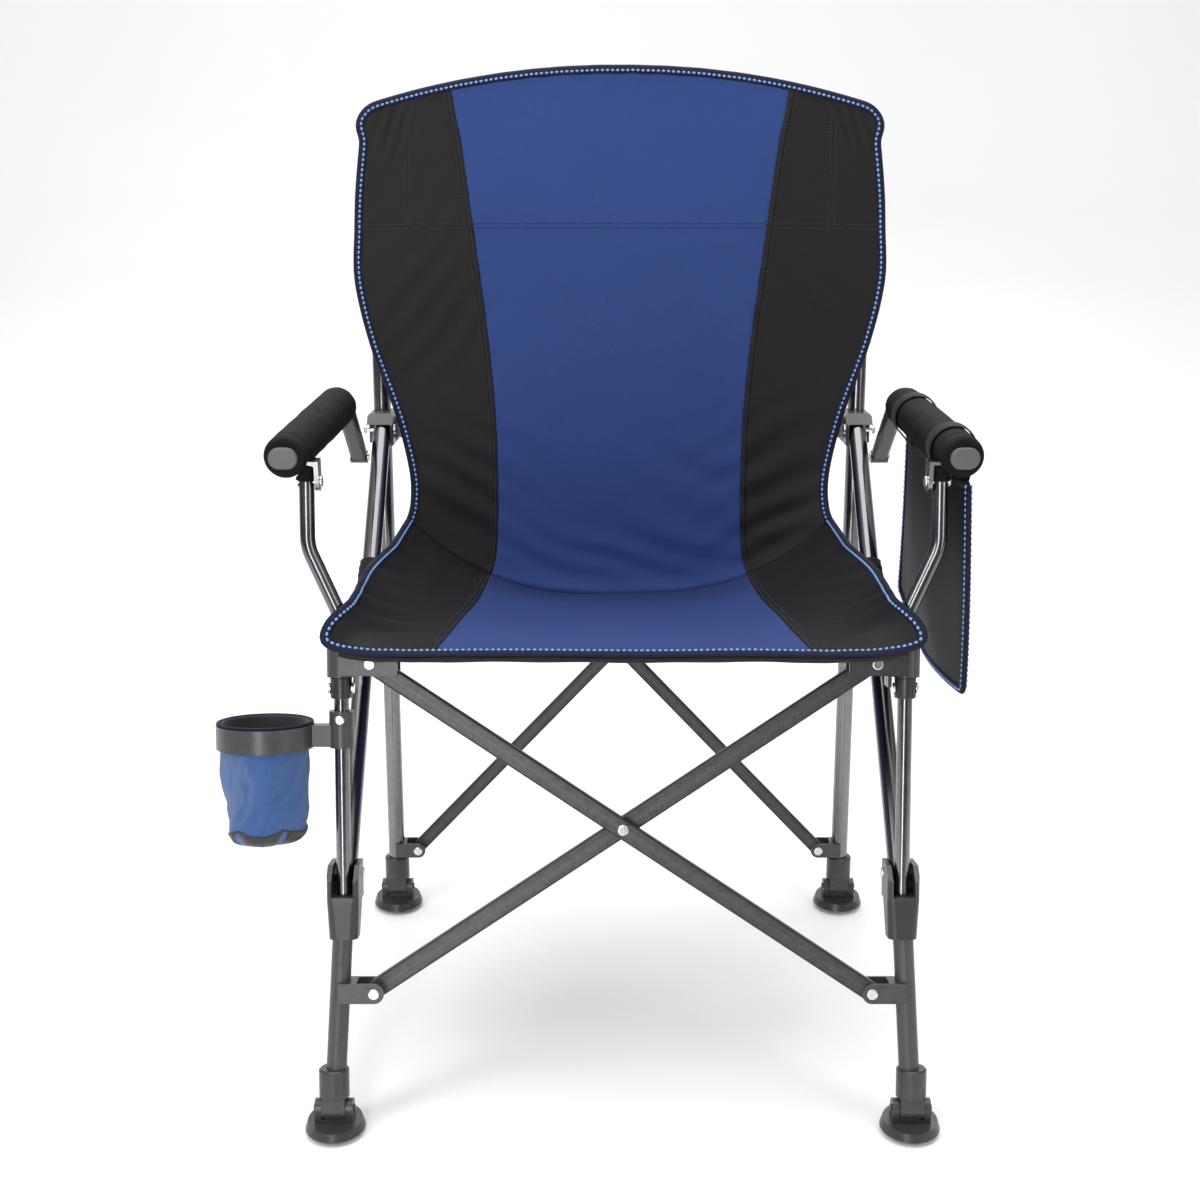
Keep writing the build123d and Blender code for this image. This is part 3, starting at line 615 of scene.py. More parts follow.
@dataclass(frozen=True)
class Stitch:
    """Sewing thread that shows as a row of short humps."""

    pitch: float = 0.0054
    length: float = 0.0036
    width: float = 0.0026
    height: float = 0.0012

    def row(self, path: np.ndarray, normals: np.ndarray) -> tuple[np.ndarray, Faces]:
        """Lays stitches along a path.

        Args:
            path: The line of the seam.
            normals: The cloth's outward direction at each point.

        Returns:
            Vertices and faces of all its stitches.
        """
        even, (lifts,) = resample(path, [normals], self.pitch)
        ahead = unit(np.gradient(even, axis=0))
        side = unit(np.cross(ahead, lifts))
        up = unit(np.cross(side, ahead))
        rings, around = 5, 6
        verts, faces = [], []
        for place, a, s, u in zip(even, ahead, side, up):
            base = len(verts)
            for i in range(rings):
                turn = math.pi * (i + 0.5) / rings
                along = -math.cos(turn) * self.length / 2
                size = math.sin(turn)
                for k in range(around):
                    angle = math.tau * k / around
                    sideways = s * (math.cos(angle) * self.width / 2 * size)
                    verts.append(place + a * along + sideways + u * (math.sin(angle) * self.height * size))
            faces += [tuple(base + j for j in face) for face in grid_faces(rings, around, loop=True)]
            faces.append(tuple(base + j for j in range(around - 1, -1, -1)))
            faces.append(tuple(base + (rings - 1) * around + j for j in range(around)))
        return np.array(verts), faces


def join_parts(parts: list[tuple[np.ndarray, Faces]]) -> tuple[np.ndarray, Faces]:
    """Puts several lots of vertices and faces together."""
    verts, faces, base = [], [], 0
    for some, quads in parts:
        verts.append(some)
        faces += [tuple(base + i for i in face) for face in quads]
        base += len(some)
    return np.vstack(verts), faces


# ------------------------------------------------------------------ the sling
@dataclass
class Panel:
    """One length of the sling: its centre line, side edges and colour boundary, row by row.

    Each station holds the centre's y and z, the edge's x, y and z, the blue panel's half width,
    and how late across the width the cloth rises to its edge.
    """

    name: str
    body: str
    stations: list[tuple[float, ...]]
    rows: int
    rise_to_edge: float = 1.12
    thickness: float = 0.0016

    def __post_init__(self) -> None:
        """Runs smooth rows through the stations."""
        self.table = smooth_rows(self.stations, self.rows)
        self.run = run_along(self.table[:, :2])

    def crumple(self, places: np.ndarray) -> np.ndarray:
        """Gives how far each place stands proud of the taut cloth."""
        raise NotImplementedError

    def taut(self, across: np.ndarray) -> np.ndarray:
        """Gives the taut cloth, one row of points for each station row.

        Args:
            across: For each row, the x of each point.

        Returns:
            Points as rows x columns x 3.
        """
        yc, zc, xe, ye, ze, _, late = (self.table[:, k][:, None] for k in range(7))
        share = np.clip(np.abs(across) / xe, 0, 1) ** late
        return np.stack([across, yc + (ye - yc) * share, zc + (ze - zc) * share], axis=2)

    def surface(self, across: np.ndarray) -> tuple[np.ndarray, np.ndarray]:
        """Gives the cloth as it lies, with its wrinkles, and its outward directions."""
        flat = self.taut(across)
        down = np.gradient(flat, axis=0)
        side = np.gradient(flat, axis=1)
        normals = unit(np.cross(down, side))
        lift = self.crumple(flat)
        return flat + normals * lift[:, :, None], normals

    def edge(self, side: int) -> tuple[np.ndarray, np.ndarray]:
        """Gives one side edge and the cloth's outward directions there."""
        xe = self.table[:, 2]
        across = side * np.stack([xe - 0.012, xe - 0.006, xe], axis=1)
        points, normals = self.surface(across if side > 0 else across[:, ::-1])
        column = 2 if side > 0 else 0
        return points[:, column], normals[:, column]

    def cloth(
        self, name: str, low: np.ndarray, high: np.ndarray, columns: int, material: bpy.types.Material
    ) -> bpy.types.Object:
        """Cuts one strip of the cloth.

        Args:
            name: The piece's name.
            low: The strip's lower x in each row.
            high: The strip's upper x in each row.
            columns: How many points across.
            material: Its cloth.

        Returns:
            The piece, with its thickness.
        """
        share = np.linspace(0, 1, columns)[None, :]
        across = low[:, None] + (high - low)[:, None] * share
        points, _ = self.surface(across)
        uv = np.stack([across, np.broadcast_to(self.run[:, None], across.shape)], axis=2)
        faces = grid_faces(self.rows, columns)
        piece = make_piece(name, points.reshape(-1, 3), faces, material, uv.reshape(-1, 2))
        thicken(piece, self.thickness)
        return piece


def dent(places: np.ndarray, centre: Triple, size: Triple) -> np.ndarray:
    """Gives a smooth spot that is 1 at its centre and fades away."""
    return np.exp(-(((places - np.array(centre)) / np.array(size)) ** 2).sum(axis=-1))


def folds(places: np.ndarray, direction: Triple, pitch: float, seed: float) -> np.ndarray:
    """Gives parallel soft folds square to a direction, wandering a little."""
    phase = places @ (np.array(direction) / np.linalg.norm(direction)) * math.tau / pitch
    wander = np.array([noise.noise(Vector(p) * 11.0 + Vector((seed, 0, 0))) for p in places.reshape(-1, 3)])
    return np.sin(phase + 3.2 * wander.reshape(phase.shape))


def ripple(places: np.ndarray, scale: float, seed: float) -> np.ndarray:
    """Gives slow uneven relief between -1 and 1."""
    flat = places.reshape(-1, 3)
    values = np.array([noise.noise(Vector(p) * scale + Vector((0, seed, 0))) for p in flat])
    return values.reshape(places.shape[:-1])


class BackPanel(Panel):
    """The back, from the crown down to the crease."""

    def crumple(self, places: np.ndarray) -> np.ndarray:
        """Diagonal pulls below the post pockets and puckers at the crown."""
        lift = 0.0011 * ripple(places, 9.0, 3.0)
        for side in (-1, 1):
            below = dent(places, (side * 0.205, 0.25, 0.715), (0.060, 0.3, 0.070))
            lift = lift + 0.0016 * below * folds(places, (side * 0.75, 0, 0.66), 0.030, side)
            head = dent(places, (side * 0.243, 0.28, 0.895), (0.020, 0.3, 0.022))
            lift = lift + 0.0015 * head * folds(places, (0.9, 0, side * 0.3), 0.012, 7.0 + side)
            waist = dent(places, (side * 0.17, 0.23, 0.50), (0.065, 0.3, 0.080))
            lift = lift + 0.0016 * waist * folds(places, (side * -0.55, 0, 0.83), 0.034, 4.0 + side)
        crown = dent(places, (0.0, 0.285, 0.945), (0.22, 0.3, 0.014))
        lift = lift + 0.0007 * crown * folds(places, (1, 0, 0), 0.036, 2.0)
        low = dent(places, (0.0, 0.225, 0.430), (0.16, 0.3, 0.045))
        lift = lift + 0.0009 * low * folds(places, (0.35, 0, 1.0), 0.034, 5.0)
        pull = dent(places, (0.10, 0.22, 0.50), (0.10, 0.3, 0.10))
        return lift + 0.0009 * pull * folds(places, (0.6, 0, 0.8), 0.055, 11.0)


class SeatPanel(Panel):
    """The seat, from the crease forward to the hem."""

    def crumple(self, places: np.ndarray) -> np.ndarray:
        """Cross folds by the crease and fan folds at the front corners."""
        lift = 0.0012 * ripple(places, 10.0, 8.0)
        back = dent(places, (0.0, 0.17, 0.40), (0.20, 0.045, 0.2))
        lift = lift + 0.0013 * back * folds(places, (0.1, 1, 0), 0.030, 1.0)
        for side in (-1, 1):
            corner = dent(places, (side * 0.225, -0.09, 0.45), (0.045, 0.05, 0.2))
            lift = lift + 0.0018 * corner * folds(places, (side * 0.6, 0.8, 0), 0.026, 6.0 + side)
            flank = dent(places, (side * 0.215, 0.09, 0.44), (0.040, 0.09, 0.2))
            lift = lift + 0.0018 * flank * folds(places, (side * 0.8, 0.5, 0.3), 0.036, 9.0 + side)
        return lift


@dataclass
class Sling:
    """The seat and back cloth with its binding, seams and stitches."""

    finishes: Finishes
    binding_half_width: float = 0.0050
    binding_half_depth: float = 0.0026
    stitch_inset: float = 0.0012
    welt_half_width: float = 0.0035
    pocket_stitch_x: float = 0.2245
    pocket_low_z: float = 0.788
    pocket_top_z: float = 0.900
    post_radius: float = 0.0095
    post_lean_deg: float = 13.0
    yoke_cut: tuple[float, float] = (0.62, 0.19)
    hem_reach: float = 0.258
    loop_y: float = 0.086
    loop_half_length: float = 0.019
    edge_pitch: float = 0.004
    points_across: int = 121

    def __post_init__(self) -> None:
        """Sets out the two lengths of cloth, which meet at the crease."""
        crease = (0.2100, 0.3905, 0.2310, 0.196, 0.480, 0.145, 2.8)
        self.back = BackPanel(
            "back",
            "left_back_frame",
            [
                (0.2865, 0.9530, 0.2665, 0.280, 0.914, 0.183, 2.1),
                (0.2840, 0.9420, 0.2755, 0.278, 0.904, 0.181, 2.2),
                (0.2810, 0.9280, 0.2780, 0.275, 0.894, 0.179, 2.4),
                (0.2765, 0.9080, 0.2735, 0.273, 0.882, 0.176, 2.6),
                (0.2720, 0.8880, 0.2750, 0.270, 0.868, 0.172, 2.6),
                (0.2610, 0.8350, 0.2795, 0.264, 0.826, 0.165, 2.8),
                (0.2525, 0.7900, 0.2815, 0.259, 0.788, 0.159, 3.0),
                (0.2460, 0.7250, 0.2825, 0.251, 0.735, 0.151, 3.0),
                (0.2405, 0.6600, 0.2680, 0.243, 0.668, 0.1435, 3.0),
                (0.2355, 0.5900, 0.2425, 0.233, 0.595, 0.138, 2.8),
                (0.2300, 0.5200, 0.2290, 0.225, 0.540, 0.1365, 2.6),
                (0.2250, 0.4550, 0.2255, 0.216, 0.510, 0.137, 2.6),
                (0.2200, 0.4100, 0.2275, 0.206, 0.490, 0.140, 2.8),
                crease,
            ],
            150,
        )
        self.seat = SeatPanel(
            "seat",
            "seat",
            [
                crease,
                (0.1800, 0.3880, 0.2335, 0.160, 0.475, 0.147, 2.8),
                (0.1300, 0.3960, 0.2385, 0.108, 0.476, 0.150, 2.8),
                (0.0600, 0.4090, 0.2440, 0.055, 0.480, 0.154, 3.0),
                (-0.0300, 0.4310, 0.2480, -0.010, 0.4855, 0.160, 4.0),
                (-0.0850, 0.4440, 0.2490, -0.078, 0.4870, 0.165, 6.5),
                (-0.1150, 0.4495, 0.2500, -0.112, 0.4875, 0.168, 9.0),
                (-0.1320, 0.4520, 0.2575, -0.131, 0.4850, 0.170, 11.0),
                (-0.1430, 0.4532, 0.2675, -0.1405, 0.4765, 0.171, 13.0),
                (-0.1500, 0.4525, 0.2725, -0.1480, 0.4640, 0.172, 15.0),
            ],
            100,
        )

    def follow(self, piece: bpy.types.Object, body: str) -> bpy.types.Object:
        """Lets a piece of the sling ride on its body, with a mesh of its own."""
        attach(piece, body)
        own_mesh(piece)
        return piece

    def panels(self) -> None:
        """Cuts the blue centre and the black sides of the back and the seat."""
        lap = 0.002
        for panel in (self.back, self.seat):
            inner, outer = panel.table[:, 5], panel.table[:, 2]
            blue = panel.cloth(f"{panel.name}_centre_panel", -inner, inner, 61, self.finishes.blue_cloth)
            self.follow(blue, panel.body)
            for side_name, side in SIDES.items():
                low, high = (-outer, -inner + lap) if side < 0 else (inner - lap, outer)
                name = f"{panel.name}_{side_name}_side_panel"
                strip = panel.cloth(name, low, high, 37, self.finishes.black_cloth)
                self.follow(strip, panel.body)
            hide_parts(f"{panel.name}_sling")

    def outline(self, panel: Panel) -> tuple[np.ndarray, np.ndarray]:
        """Gives the bound edge of one length of cloth, from its left side to its right side.

        Args:
            panel: The back or the seat.

        Returns:
            Points and the cloth's outward directions.
        """
        end = 0 if panel is self.back else -1
        xe = panel.table[end, 2]
        count = self.points_across
        across = np.broadcast_to(np.linspace(-xe, xe, count)[None, :], (panel.rows, count))
        points, normals = panel.surface(across)
        left, left_out = panel.edge(-1)
        right, right_out = panel.edge(1)
        if panel is self.back:
            left, left_out = left[::-1], left_out[::-1]
        else:
            right, right_out = right[::-1], right_out[::-1]
        path = np.vstack([left, points[end, 1:-1], right])
        out = np.vstack([left_out, normals[end, 1:-1], right_out])
        return path, out

    def binding(self) -> None:
        """Folds the navy binding over every free edge and sews it with pale thread."""
        for panel in (self.back, self.seat):
            path, out = self.outline(panel)
            even, (lifts,) = resample(path, [out], self.edge_pitch)
            even = eased(even, 3)
            verts, faces, uv = sweep(even, lifts, self.binding_half_width, self.binding_half_depth)
            bound = make_piece(f"{panel.name}_binding", verts, faces, self.finishes.piping, uv)
            self.follow(bound, panel.body)
            ahead = unit(np.gradient(even, axis=0))
            inward = unit(np.cross(ahead, lifts))
            middle = even.mean(axis=0)
            if ((middle - even) * inward).sum() < 0:
                inward = -inward
            rows = []
            for face in (-1, 1):
                line = even + inward * self.stitch_inset + lifts * face * (self.binding_half_depth - 0.0001)
                rows.append(Stitch().row(line, lifts * face))
            verts, faces = join_parts(rows)
            sewn = make_piece(f"{panel.name}_binding_stitches", verts, faces, self.finishes.pale_thread)
            self.follow(sewn, panel.body)

    def seam_lines(self, panel: Panel) -> list[tuple[np.ndarray, np.ndarray]]:
        """Gives the lines of the panel seams, as points and outward directions."""
        found = []
        for side in (-1, 1):
            for step in (0.0015, 0.0058):
                x = panel.table[:, 5] + step
                across = side * np.stack([x - 0.002, x, x + 0.002], axis=1)
                points, normals = panel.surface(across if side > 0 else across[:, ::-1])
                found.append((points[:, 1], normals[:, 1]))
        return found

    def cross_line(self, height: float, reach: float) -> tuple[np.ndarray, np.ndarray]:
        """Gives a level line across the back at one height."""
        row = int(np.argmin(np.abs(self.back.table[:, 1] - height)))
        across = np.broadcast_to(np.linspace(-reach, reach, 141)[None, :], (self.back.rows, 141))
        points, normals = self.back.surface(across)
        return points[row], normals[row]

    def upright_line(self, x: float) -> tuple[np.ndarray, np.ndarray]:
        """Gives an upright line on the back, from the cross seam to the head of the post pocket."""
        across = np.broadcast_to(np.array([x - 0.002, x, x + 0.002])[None, :], (self.back.rows, 3))
        points, normals = self.back.surface(across)
        inside = (points[:, 1, 2] > self.pocket_low_z) & (points[:, 1, 2] < self.pocket_top_z)
        return points[inside, 1], normals[inside, 1]

    def seams(self) -> None:
        """Raises the lapped seams and sews the seams and the post pockets with dark thread."""
        thread = Stitch(pitch=0.0036, length=0.0026, width=0.0011, height=0.0006)
        for panel in (self.back, self.seat):
            rows = []
            welts = []
            for index, (line, out) in enumerate(self.seam_lines(panel)):
                rows.append(thread.row(line + out * 0.0013, out))
                if index % 2 == 0:
                    ridge = sweep(line + out * 0.0006, out, self.welt_half_width, 0.0009, segments=8)
                    welts.append(ridge[:2])
            if panel is self.back:
                for height in (self.pocket_low_z, self.pocket_low_z + 0.0065):
                    line, out = self.cross_line(height, 0.279)
                    rows += [thread.row(line + out * face * 0.0010, out * face) for face in (-1, 1)]
                for x in (self.pocket_stitch_x, self.pocket_stitch_x + 0.0055):
                    for side in (-1, 1):
                        line, out = self.upright_line(side * x)
                        rows.append(thread.row(line + out * 0.0010, out))
            verts, faces = join_parts(rows)
            sewn = make_piece(f"{panel.name}_seam_stitches", verts, faces, self.finishes.dark_thread)
            self.follow(sewn, panel.body)
            verts, faces = join_parts(welts)
            welt = make_piece(f"{panel.name}_seam_welts", verts, faces, self.finishes.black_cloth)
            self.follow(welt, panel.body)

    def rear_yoke(self) -> None:
        """Sews the rear layer that closes the pockets over the back posts."""
        rows = int((self.back.table[:, 1] > self.pocket_low_z).sum()) + 1
        columns = 141
        table = self.back.table[:rows]
        half = table[:, 2] - 0.001
        share = np.linspace(-1, 1, columns)[None, :]
        across = np.zeros((self.back.rows, columns))
        across[:rows] = half[:, None] * share
        points, _ = self.back.surface(across)
        points = points[:rows]
        _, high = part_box("left_back_post")
        lean = math.tan(math.radians(self.post_lean_deg))
        top_y, top_z = high.y - self.post_radius, high.z
        z = points[:, :, 2]
        post_y = top_y - (top_z - z) * lean
        wall = post_y + self.post_radius + 0.0022
        clear = 0.0018
        x = np.abs(points[:, :, 0])
        rise = np.clip((x - 0.2300) / 0.020, 0, 1)
        fall = np.clip((table[:, 2][:, None] - x) / 0.010, 0, 1)
        head = np.clip((0.930 - z) / 0.012, 0, 1)
        wrap = (rise**2 * (3 - 2 * rise)) * np.sqrt(np.clip(1 - (1 - fall) ** 2, 0, 1)) * head
        gap = np.maximum(wall - points[:, :, 1], clear)
        points[:, :, 1] += clear + (gap - clear) * wrap
        uv = np.stack([points[:, :, 0], np.broadcast_to(self.back.run[:rows, None], (rows, columns))], axis=2)
        faces = grid_faces(rows, columns)
        black = self.finishes.black_cloth
        yoke = make_piece("back_rear_yoke", points.reshape(-1, 3), faces, black, uv.reshape(-1, 2))
        thicken(yoke, 0.0012)
        self.follow(yoke, "left_back_frame")

    def brace_loops(self) -> None:
        """Wraps the cloth loops that hold the seat's flanks to the side braces."""
        joints = {j["name"]: j for j in frame["joints"]}
        for name, side in SIDES.items():
            low = Vector(joints["left_hub_pivot"]["pos_m"])
            high = Vector(joints["left_brace_pivot"]["pos_m"])
            low.x, high.x = side * abs(low.x), side * abs(high.x)
            run = (high - low).normalized()
            middle = low + run * ((self.loop_y - low.y) / run.y)
            reach = self.loop_half_length
            along = np.linspace(-reach, reach, 15)
            path = np.array([list(middle + run * a) for a in along])
            swell = 0.0118 + 0.0012 * np.cos(along / reach * math.pi / 2) + 0.0004 * np.sin(along * 700)
            lifts = same_way(SIDEWAYS, len(path))
            verts, faces, uv = sweep(path, lifts, swell, swell, segments=24)
            loop = make_piece(f"{name}_brace_loop", verts, faces, self.finishes.webbing, uv)
            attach(loop, f"{name}_brace")

    def front_hem(self) -> None:
        """Rolls the hem under the seat's front edge."""
        row = self.seat.rows - 3
        count = self.points_across
        level = np.linspace(-self.hem_reach, self.hem_reach, count)
        across = np.broadcast_to(level[None, :], (self.seat.rows, count))
        points, normals = self.seat.surface(across)
        line = points[row] + np.array([0.0, -0.001, -0.0052])
        wobble = 0.0004 * np.sin(np.linspace(0, 40, count))
        verts, faces, uv = sweep(line, normals[row], 0.0042, 0.0034 + wobble, segments=12)
        hem = make_piece("seat_front_hem", verts, faces, self.finishes.webbing, uv)
        self.follow(hem, "seat")

    def build(self) -> None:
        """Makes the whole sling."""
        self.panels()
        self.rear_yoke()
        self.binding()
        self.seams()
        self.front_hem()
        self.brace_loops()
        LOG.info("sling: panels, yoke, binding, seams, hem and loops")


# ------------------------------------------------------------------ armrest foam
@dataclass
class FoamGrips:
    """Foam sleeves over the arm bars, with a firm collar round each end plug."""

    finishes: Finishes
    collar_length: float = 0.014
    squeeze: float = 0.0007
    segments: int = 48

    def axis(self, side_name: str, side: int) -> tuple[Vector, Vector, float]:
        """Finds a grip's centre line and radius from its solid."""
        low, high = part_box(f"{side_name}_arm_grip")
        radius = (high.z - low.z) / 2
        outer, inner = max(abs(low.x), abs(high.x)), min(abs(low.x), abs(high.x))
        level = (low.z + high.z) / 2
        front = Vector((side * (outer - radius), low.y, level))
        rear = Vector((side * (inner + radius), high.y, level))
        return front, rear, radius

    def build(self) -> None:
        """Makes both grips."""
        for name, side in SIDES.items():
            front, rear, radius = self.axis(name, side)
            length = (rear - front).length
            profile = [
                (0.000, 0.78), (0.0008, 0.90), (0.003, 0.965), (0.007, 0.985),
                (self.collar_length - 0.001, 0.975), (self.collar_length, 0.945),
                (self.collar_length + 0.001, 0.955), (self.collar_length + 0.003, 0.995),
            ]
            start = self.collar_length + 0.008
            profile += [(s, 1.0) for s in np.linspace(start, length - 0.014, 40)]
            rounding = ((0.008, 0.985), (0.004, 0.94), (0.0015, 0.86), (0.0, 0.74))
            profile += [(length - back, share) for back, share in rounding]
            along = np.array([p[0] for p in profile])
            size = np.array([p[1] for p in profile]) * radius
            run = (rear - front).normalized()
            path = np.array([list(front + run * float(s)) for s in along])
            lifts = same_way(UPWARD, len(path))
            verts, faces, uv = sweep(path, lifts, size, size, segments=self.segments)
            centre = np.repeat(path, self.segments, axis=0)
            out = unit(verts - centre)
            soft = np.repeat(along > self.collar_length, self.segments)
            broad = np.array([noise.noise(Vector(v) * 55.0) for v in verts])
            relief = broad + np.array([0.6 * noise.noise(Vector(v) * 130.0) for v in verts])
            verts = verts + out * (relief * self.squeeze * soft)[:, None]
            grip = make_piece(f"{name}_foam_sleeve", verts, faces, self.finishes.foam, uv)
            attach(grip, f"{name}_arm")
            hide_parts(f"{name}_arm_grip")
        LOG.info("foam grips: two sleeves")


@dataclass
class PostShadeCaps:
    """Dark foam domes on the tops of the arm posts: painted shade for the shadowed gap under the grips."""

    finishes: Finishes
    radius: float = 0.0076
    height: float = 0.0095
    lean_deg: float = 13.0
    post_radius: float = 0.0070
    post_top_y: float = -0.0873

    def build(self) -> None:
        """Makes a dark dome on each arm post, as painted shade under the grip."""
        lean = math.radians(self.lean_deg)
        up = np.array([0.0, math.sin(lean), math.cos(lean)])
        for name, side in SIDES.items():
            low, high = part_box(f"{name}_arm_post")
            outer = max(abs(low.x), abs(high.x))
            middle = side * (outer - self.post_radius)
            top = np.array([middle, self.post_top_y, high.z - 0.0016])
            along = np.array([-0.005, -0.0048, 0.001, 0.006, self.height - 0.001, self.height])
            size = np.array([0.86, 1.0, 1.0, 1.06, 0.9, 0.5]) * self.radius
            path = top[None, :] + along[:, None] * up[None, :]
            lifts = same_way(SIDEWAYS, len(path))
            verts, faces, uv = sweep(path, lifts, size, size, segments=28)
            # Painted shade: the dark foam dome stands in for the shadow between the post top and the grip.
            shade_dome = make_piece(f"{name}_post_buffer", verts, faces, self.finishes.foam, uv)
            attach(shade_dome, f"{name}_post_unit")
        # These post buffers are painted shade under the grips.
        LOG.info("post buffers: two")


# ------------------------------------------------------------------ cup holder
@dataclass
class CupCloth:
    """The cloth cup in its ring: ribbed wall, dark scalloped base and a rolled rim."""

    finishes: Finishes
    top: float = 0.0125
    bottom: float = -0.1040
    mouth_radius: float = 0.0412
    slack: float = 0.0030
    segments: int = 96
    rows: int = 60
    rim_points: int = 72

    def __post_init__(self) -> None:
        """Finds the cup's axis from its swivel and its solid."""
        joint = next(j for j in frame["joints"] if j["name"] == "cup_swivel")
        self.up = np.array(Vector(joint["axis"]).normalized())
        low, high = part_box("cup_liner")
        place = Vector(joint["pos_m"])
        self.centre = np.array([(low.x + high.x) / 2, place.y, place.z])
        self.side = np.array([1.0, 0.0, 0.0])
        self.front = np.cross(self.side, self.up)

    def wall(self, profile: list[tuple[float, float]], proud: float = 0.0) -> tuple:
        """Turns a profile round the axis and lets it sag and pucker.

        Args:
            profile: Heights along the axis and radii.
            proud: How far to stand out from the surface.

        Returns:
            Vertices, faces and cloth coordinates.
        """
        rows = smooth_rows(profile, self.rows)
        angle = np.linspace(0, math.tau, self.segments, endpoint=False)
        verts, uv = [], []
        for height, radius in rows:
            depth = (self.top - height) / (self.top - self.bottom)
            for turn in angle:
                pucker = 0.5 * math.sin(5 * turn + 2.0 * depth) + 0.5 * math.sin(3 * turn + 1.3)
                swirl = turn + 9.0 * height
                ahead, beside = math.cos(swirl), math.sin(swirl)
                broad = noise.noise(Vector((ahead * 1.3, beside * 1.3, height * 26.0)))
                sharp = abs(noise.noise(Vector((ahead * 2.9 + 7.0, beside * 2.9, height * 44.0))))
                crumple = (1.9 * broad - 1.3 * sharp) * min(1.0, depth * 3.0)
                wander = self.slack * (0.8 * pucker * depth**2 + crumple)
                size = radius + proud + wander * (0.3 + 0.7 * radius / self.mouth_radius)
                around = self.side * math.cos(turn) + self.front * math.sin(turn)
                verts.append(self.centre + self.up * height + around * size)
                uv.append((turn * self.mouth_radius, height))
        faces = grid_faces(len(rows), self.segments, loop=True)
        faces.append(tuple((self.rows - 1) * self.segments + c for c in range(self.segments)))
        return np.array(verts), faces, np.array(uv)

    def dress(self, piece: bpy.types.Object, slot: str) -> None:
        """Lets a piece turn with the holder."""
        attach(piece, "cup_holder")

    def build(self) -> None:
        """Makes the cup, its base, a dark inner wall that is painted shade inside the cup, and its rim."""
        outer = [
            (self.top, self.mouth_radius), (-0.004, 0.0408), (-0.025, 0.0400), (-0.050, 0.0392),
            (-0.072, 0.0376), (-0.088, 0.0345), (-0.0965, 0.0285), (-0.1010, 0.0190),
            (-0.1025, 0.0100), (-0.1030, 0.0008),
        ]
        verts, faces, uv = self.wall(outer)
        cup = make_piece("cup_cloth", verts, faces, self.finishes.cup_cloth, uv)
        thicken(cup, 0.0012, -1.0)
        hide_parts("cup_liner")
        self.dress(cup, "cup_cloth")
        base = [(-0.0860, 0.0352), *outer[5:]]
        verts, faces, uv = self.wall(base, proud=0.0009)
        turn = np.tile(np.linspace(0, math.tau, self.segments, endpoint=False), self.rows)
        row = np.repeat(np.linspace(0, 1, self.rows), self.segments)
        scallop = 0.0060 * (np.abs(np.sin(2.5 * turn + 0.9)) - 0.55) * (1 - row) ** 2
        verts = verts - self.up[None, :] * scallop[:, None]
        patch = make_piece("cup_base_patch", verts, faces, self.finishes.cup_base, uv)
        thicken(patch, 0.0008, -1.0)
        self.dress(patch, "black_cloth")
        # Painted shade: a dark sheet just inside the cup wall darkens the cup's hollow.
        inner = [(height, max(radius - 0.0016, 0.0006)) for height, radius in outer[:-1]]
        inner.append((outer[-1][0] + 0.0014, 0.0006))
        verts, faces, uv = self.wall(inner, proud=-0.0004)
        painted_shade_sheet = make_piece("cup_lining", verts, faces, self.finishes.cup_base, uv)
        thicken(painted_shade_sheet, 0.0006, 1.0)
        self.dress(painted_shade_sheet, "black_cloth")
        mouth = self.centre + self.up * self.top
        ring = []
        for turn in np.linspace(0, math.tau, self.rim_points, endpoint=False):
            around = self.side * math.cos(turn) + self.front * math.sin(turn)
            ring.append(mouth + around * (self.mouth_radius + 0.0012))
        lifts = same_way(self.up, self.rim_points)
        verts, faces, uv = sweep(np.array(ring), lifts, 0.0022, 0.0012, segments=10, closed=True)
        rim = make_piece("cup_rim_binding", verts, faces, self.finishes.piping, uv)
        self.dress(rim, "piping")
        LOG.info("cup holder: cloth cup, lining, base patch and rim binding")


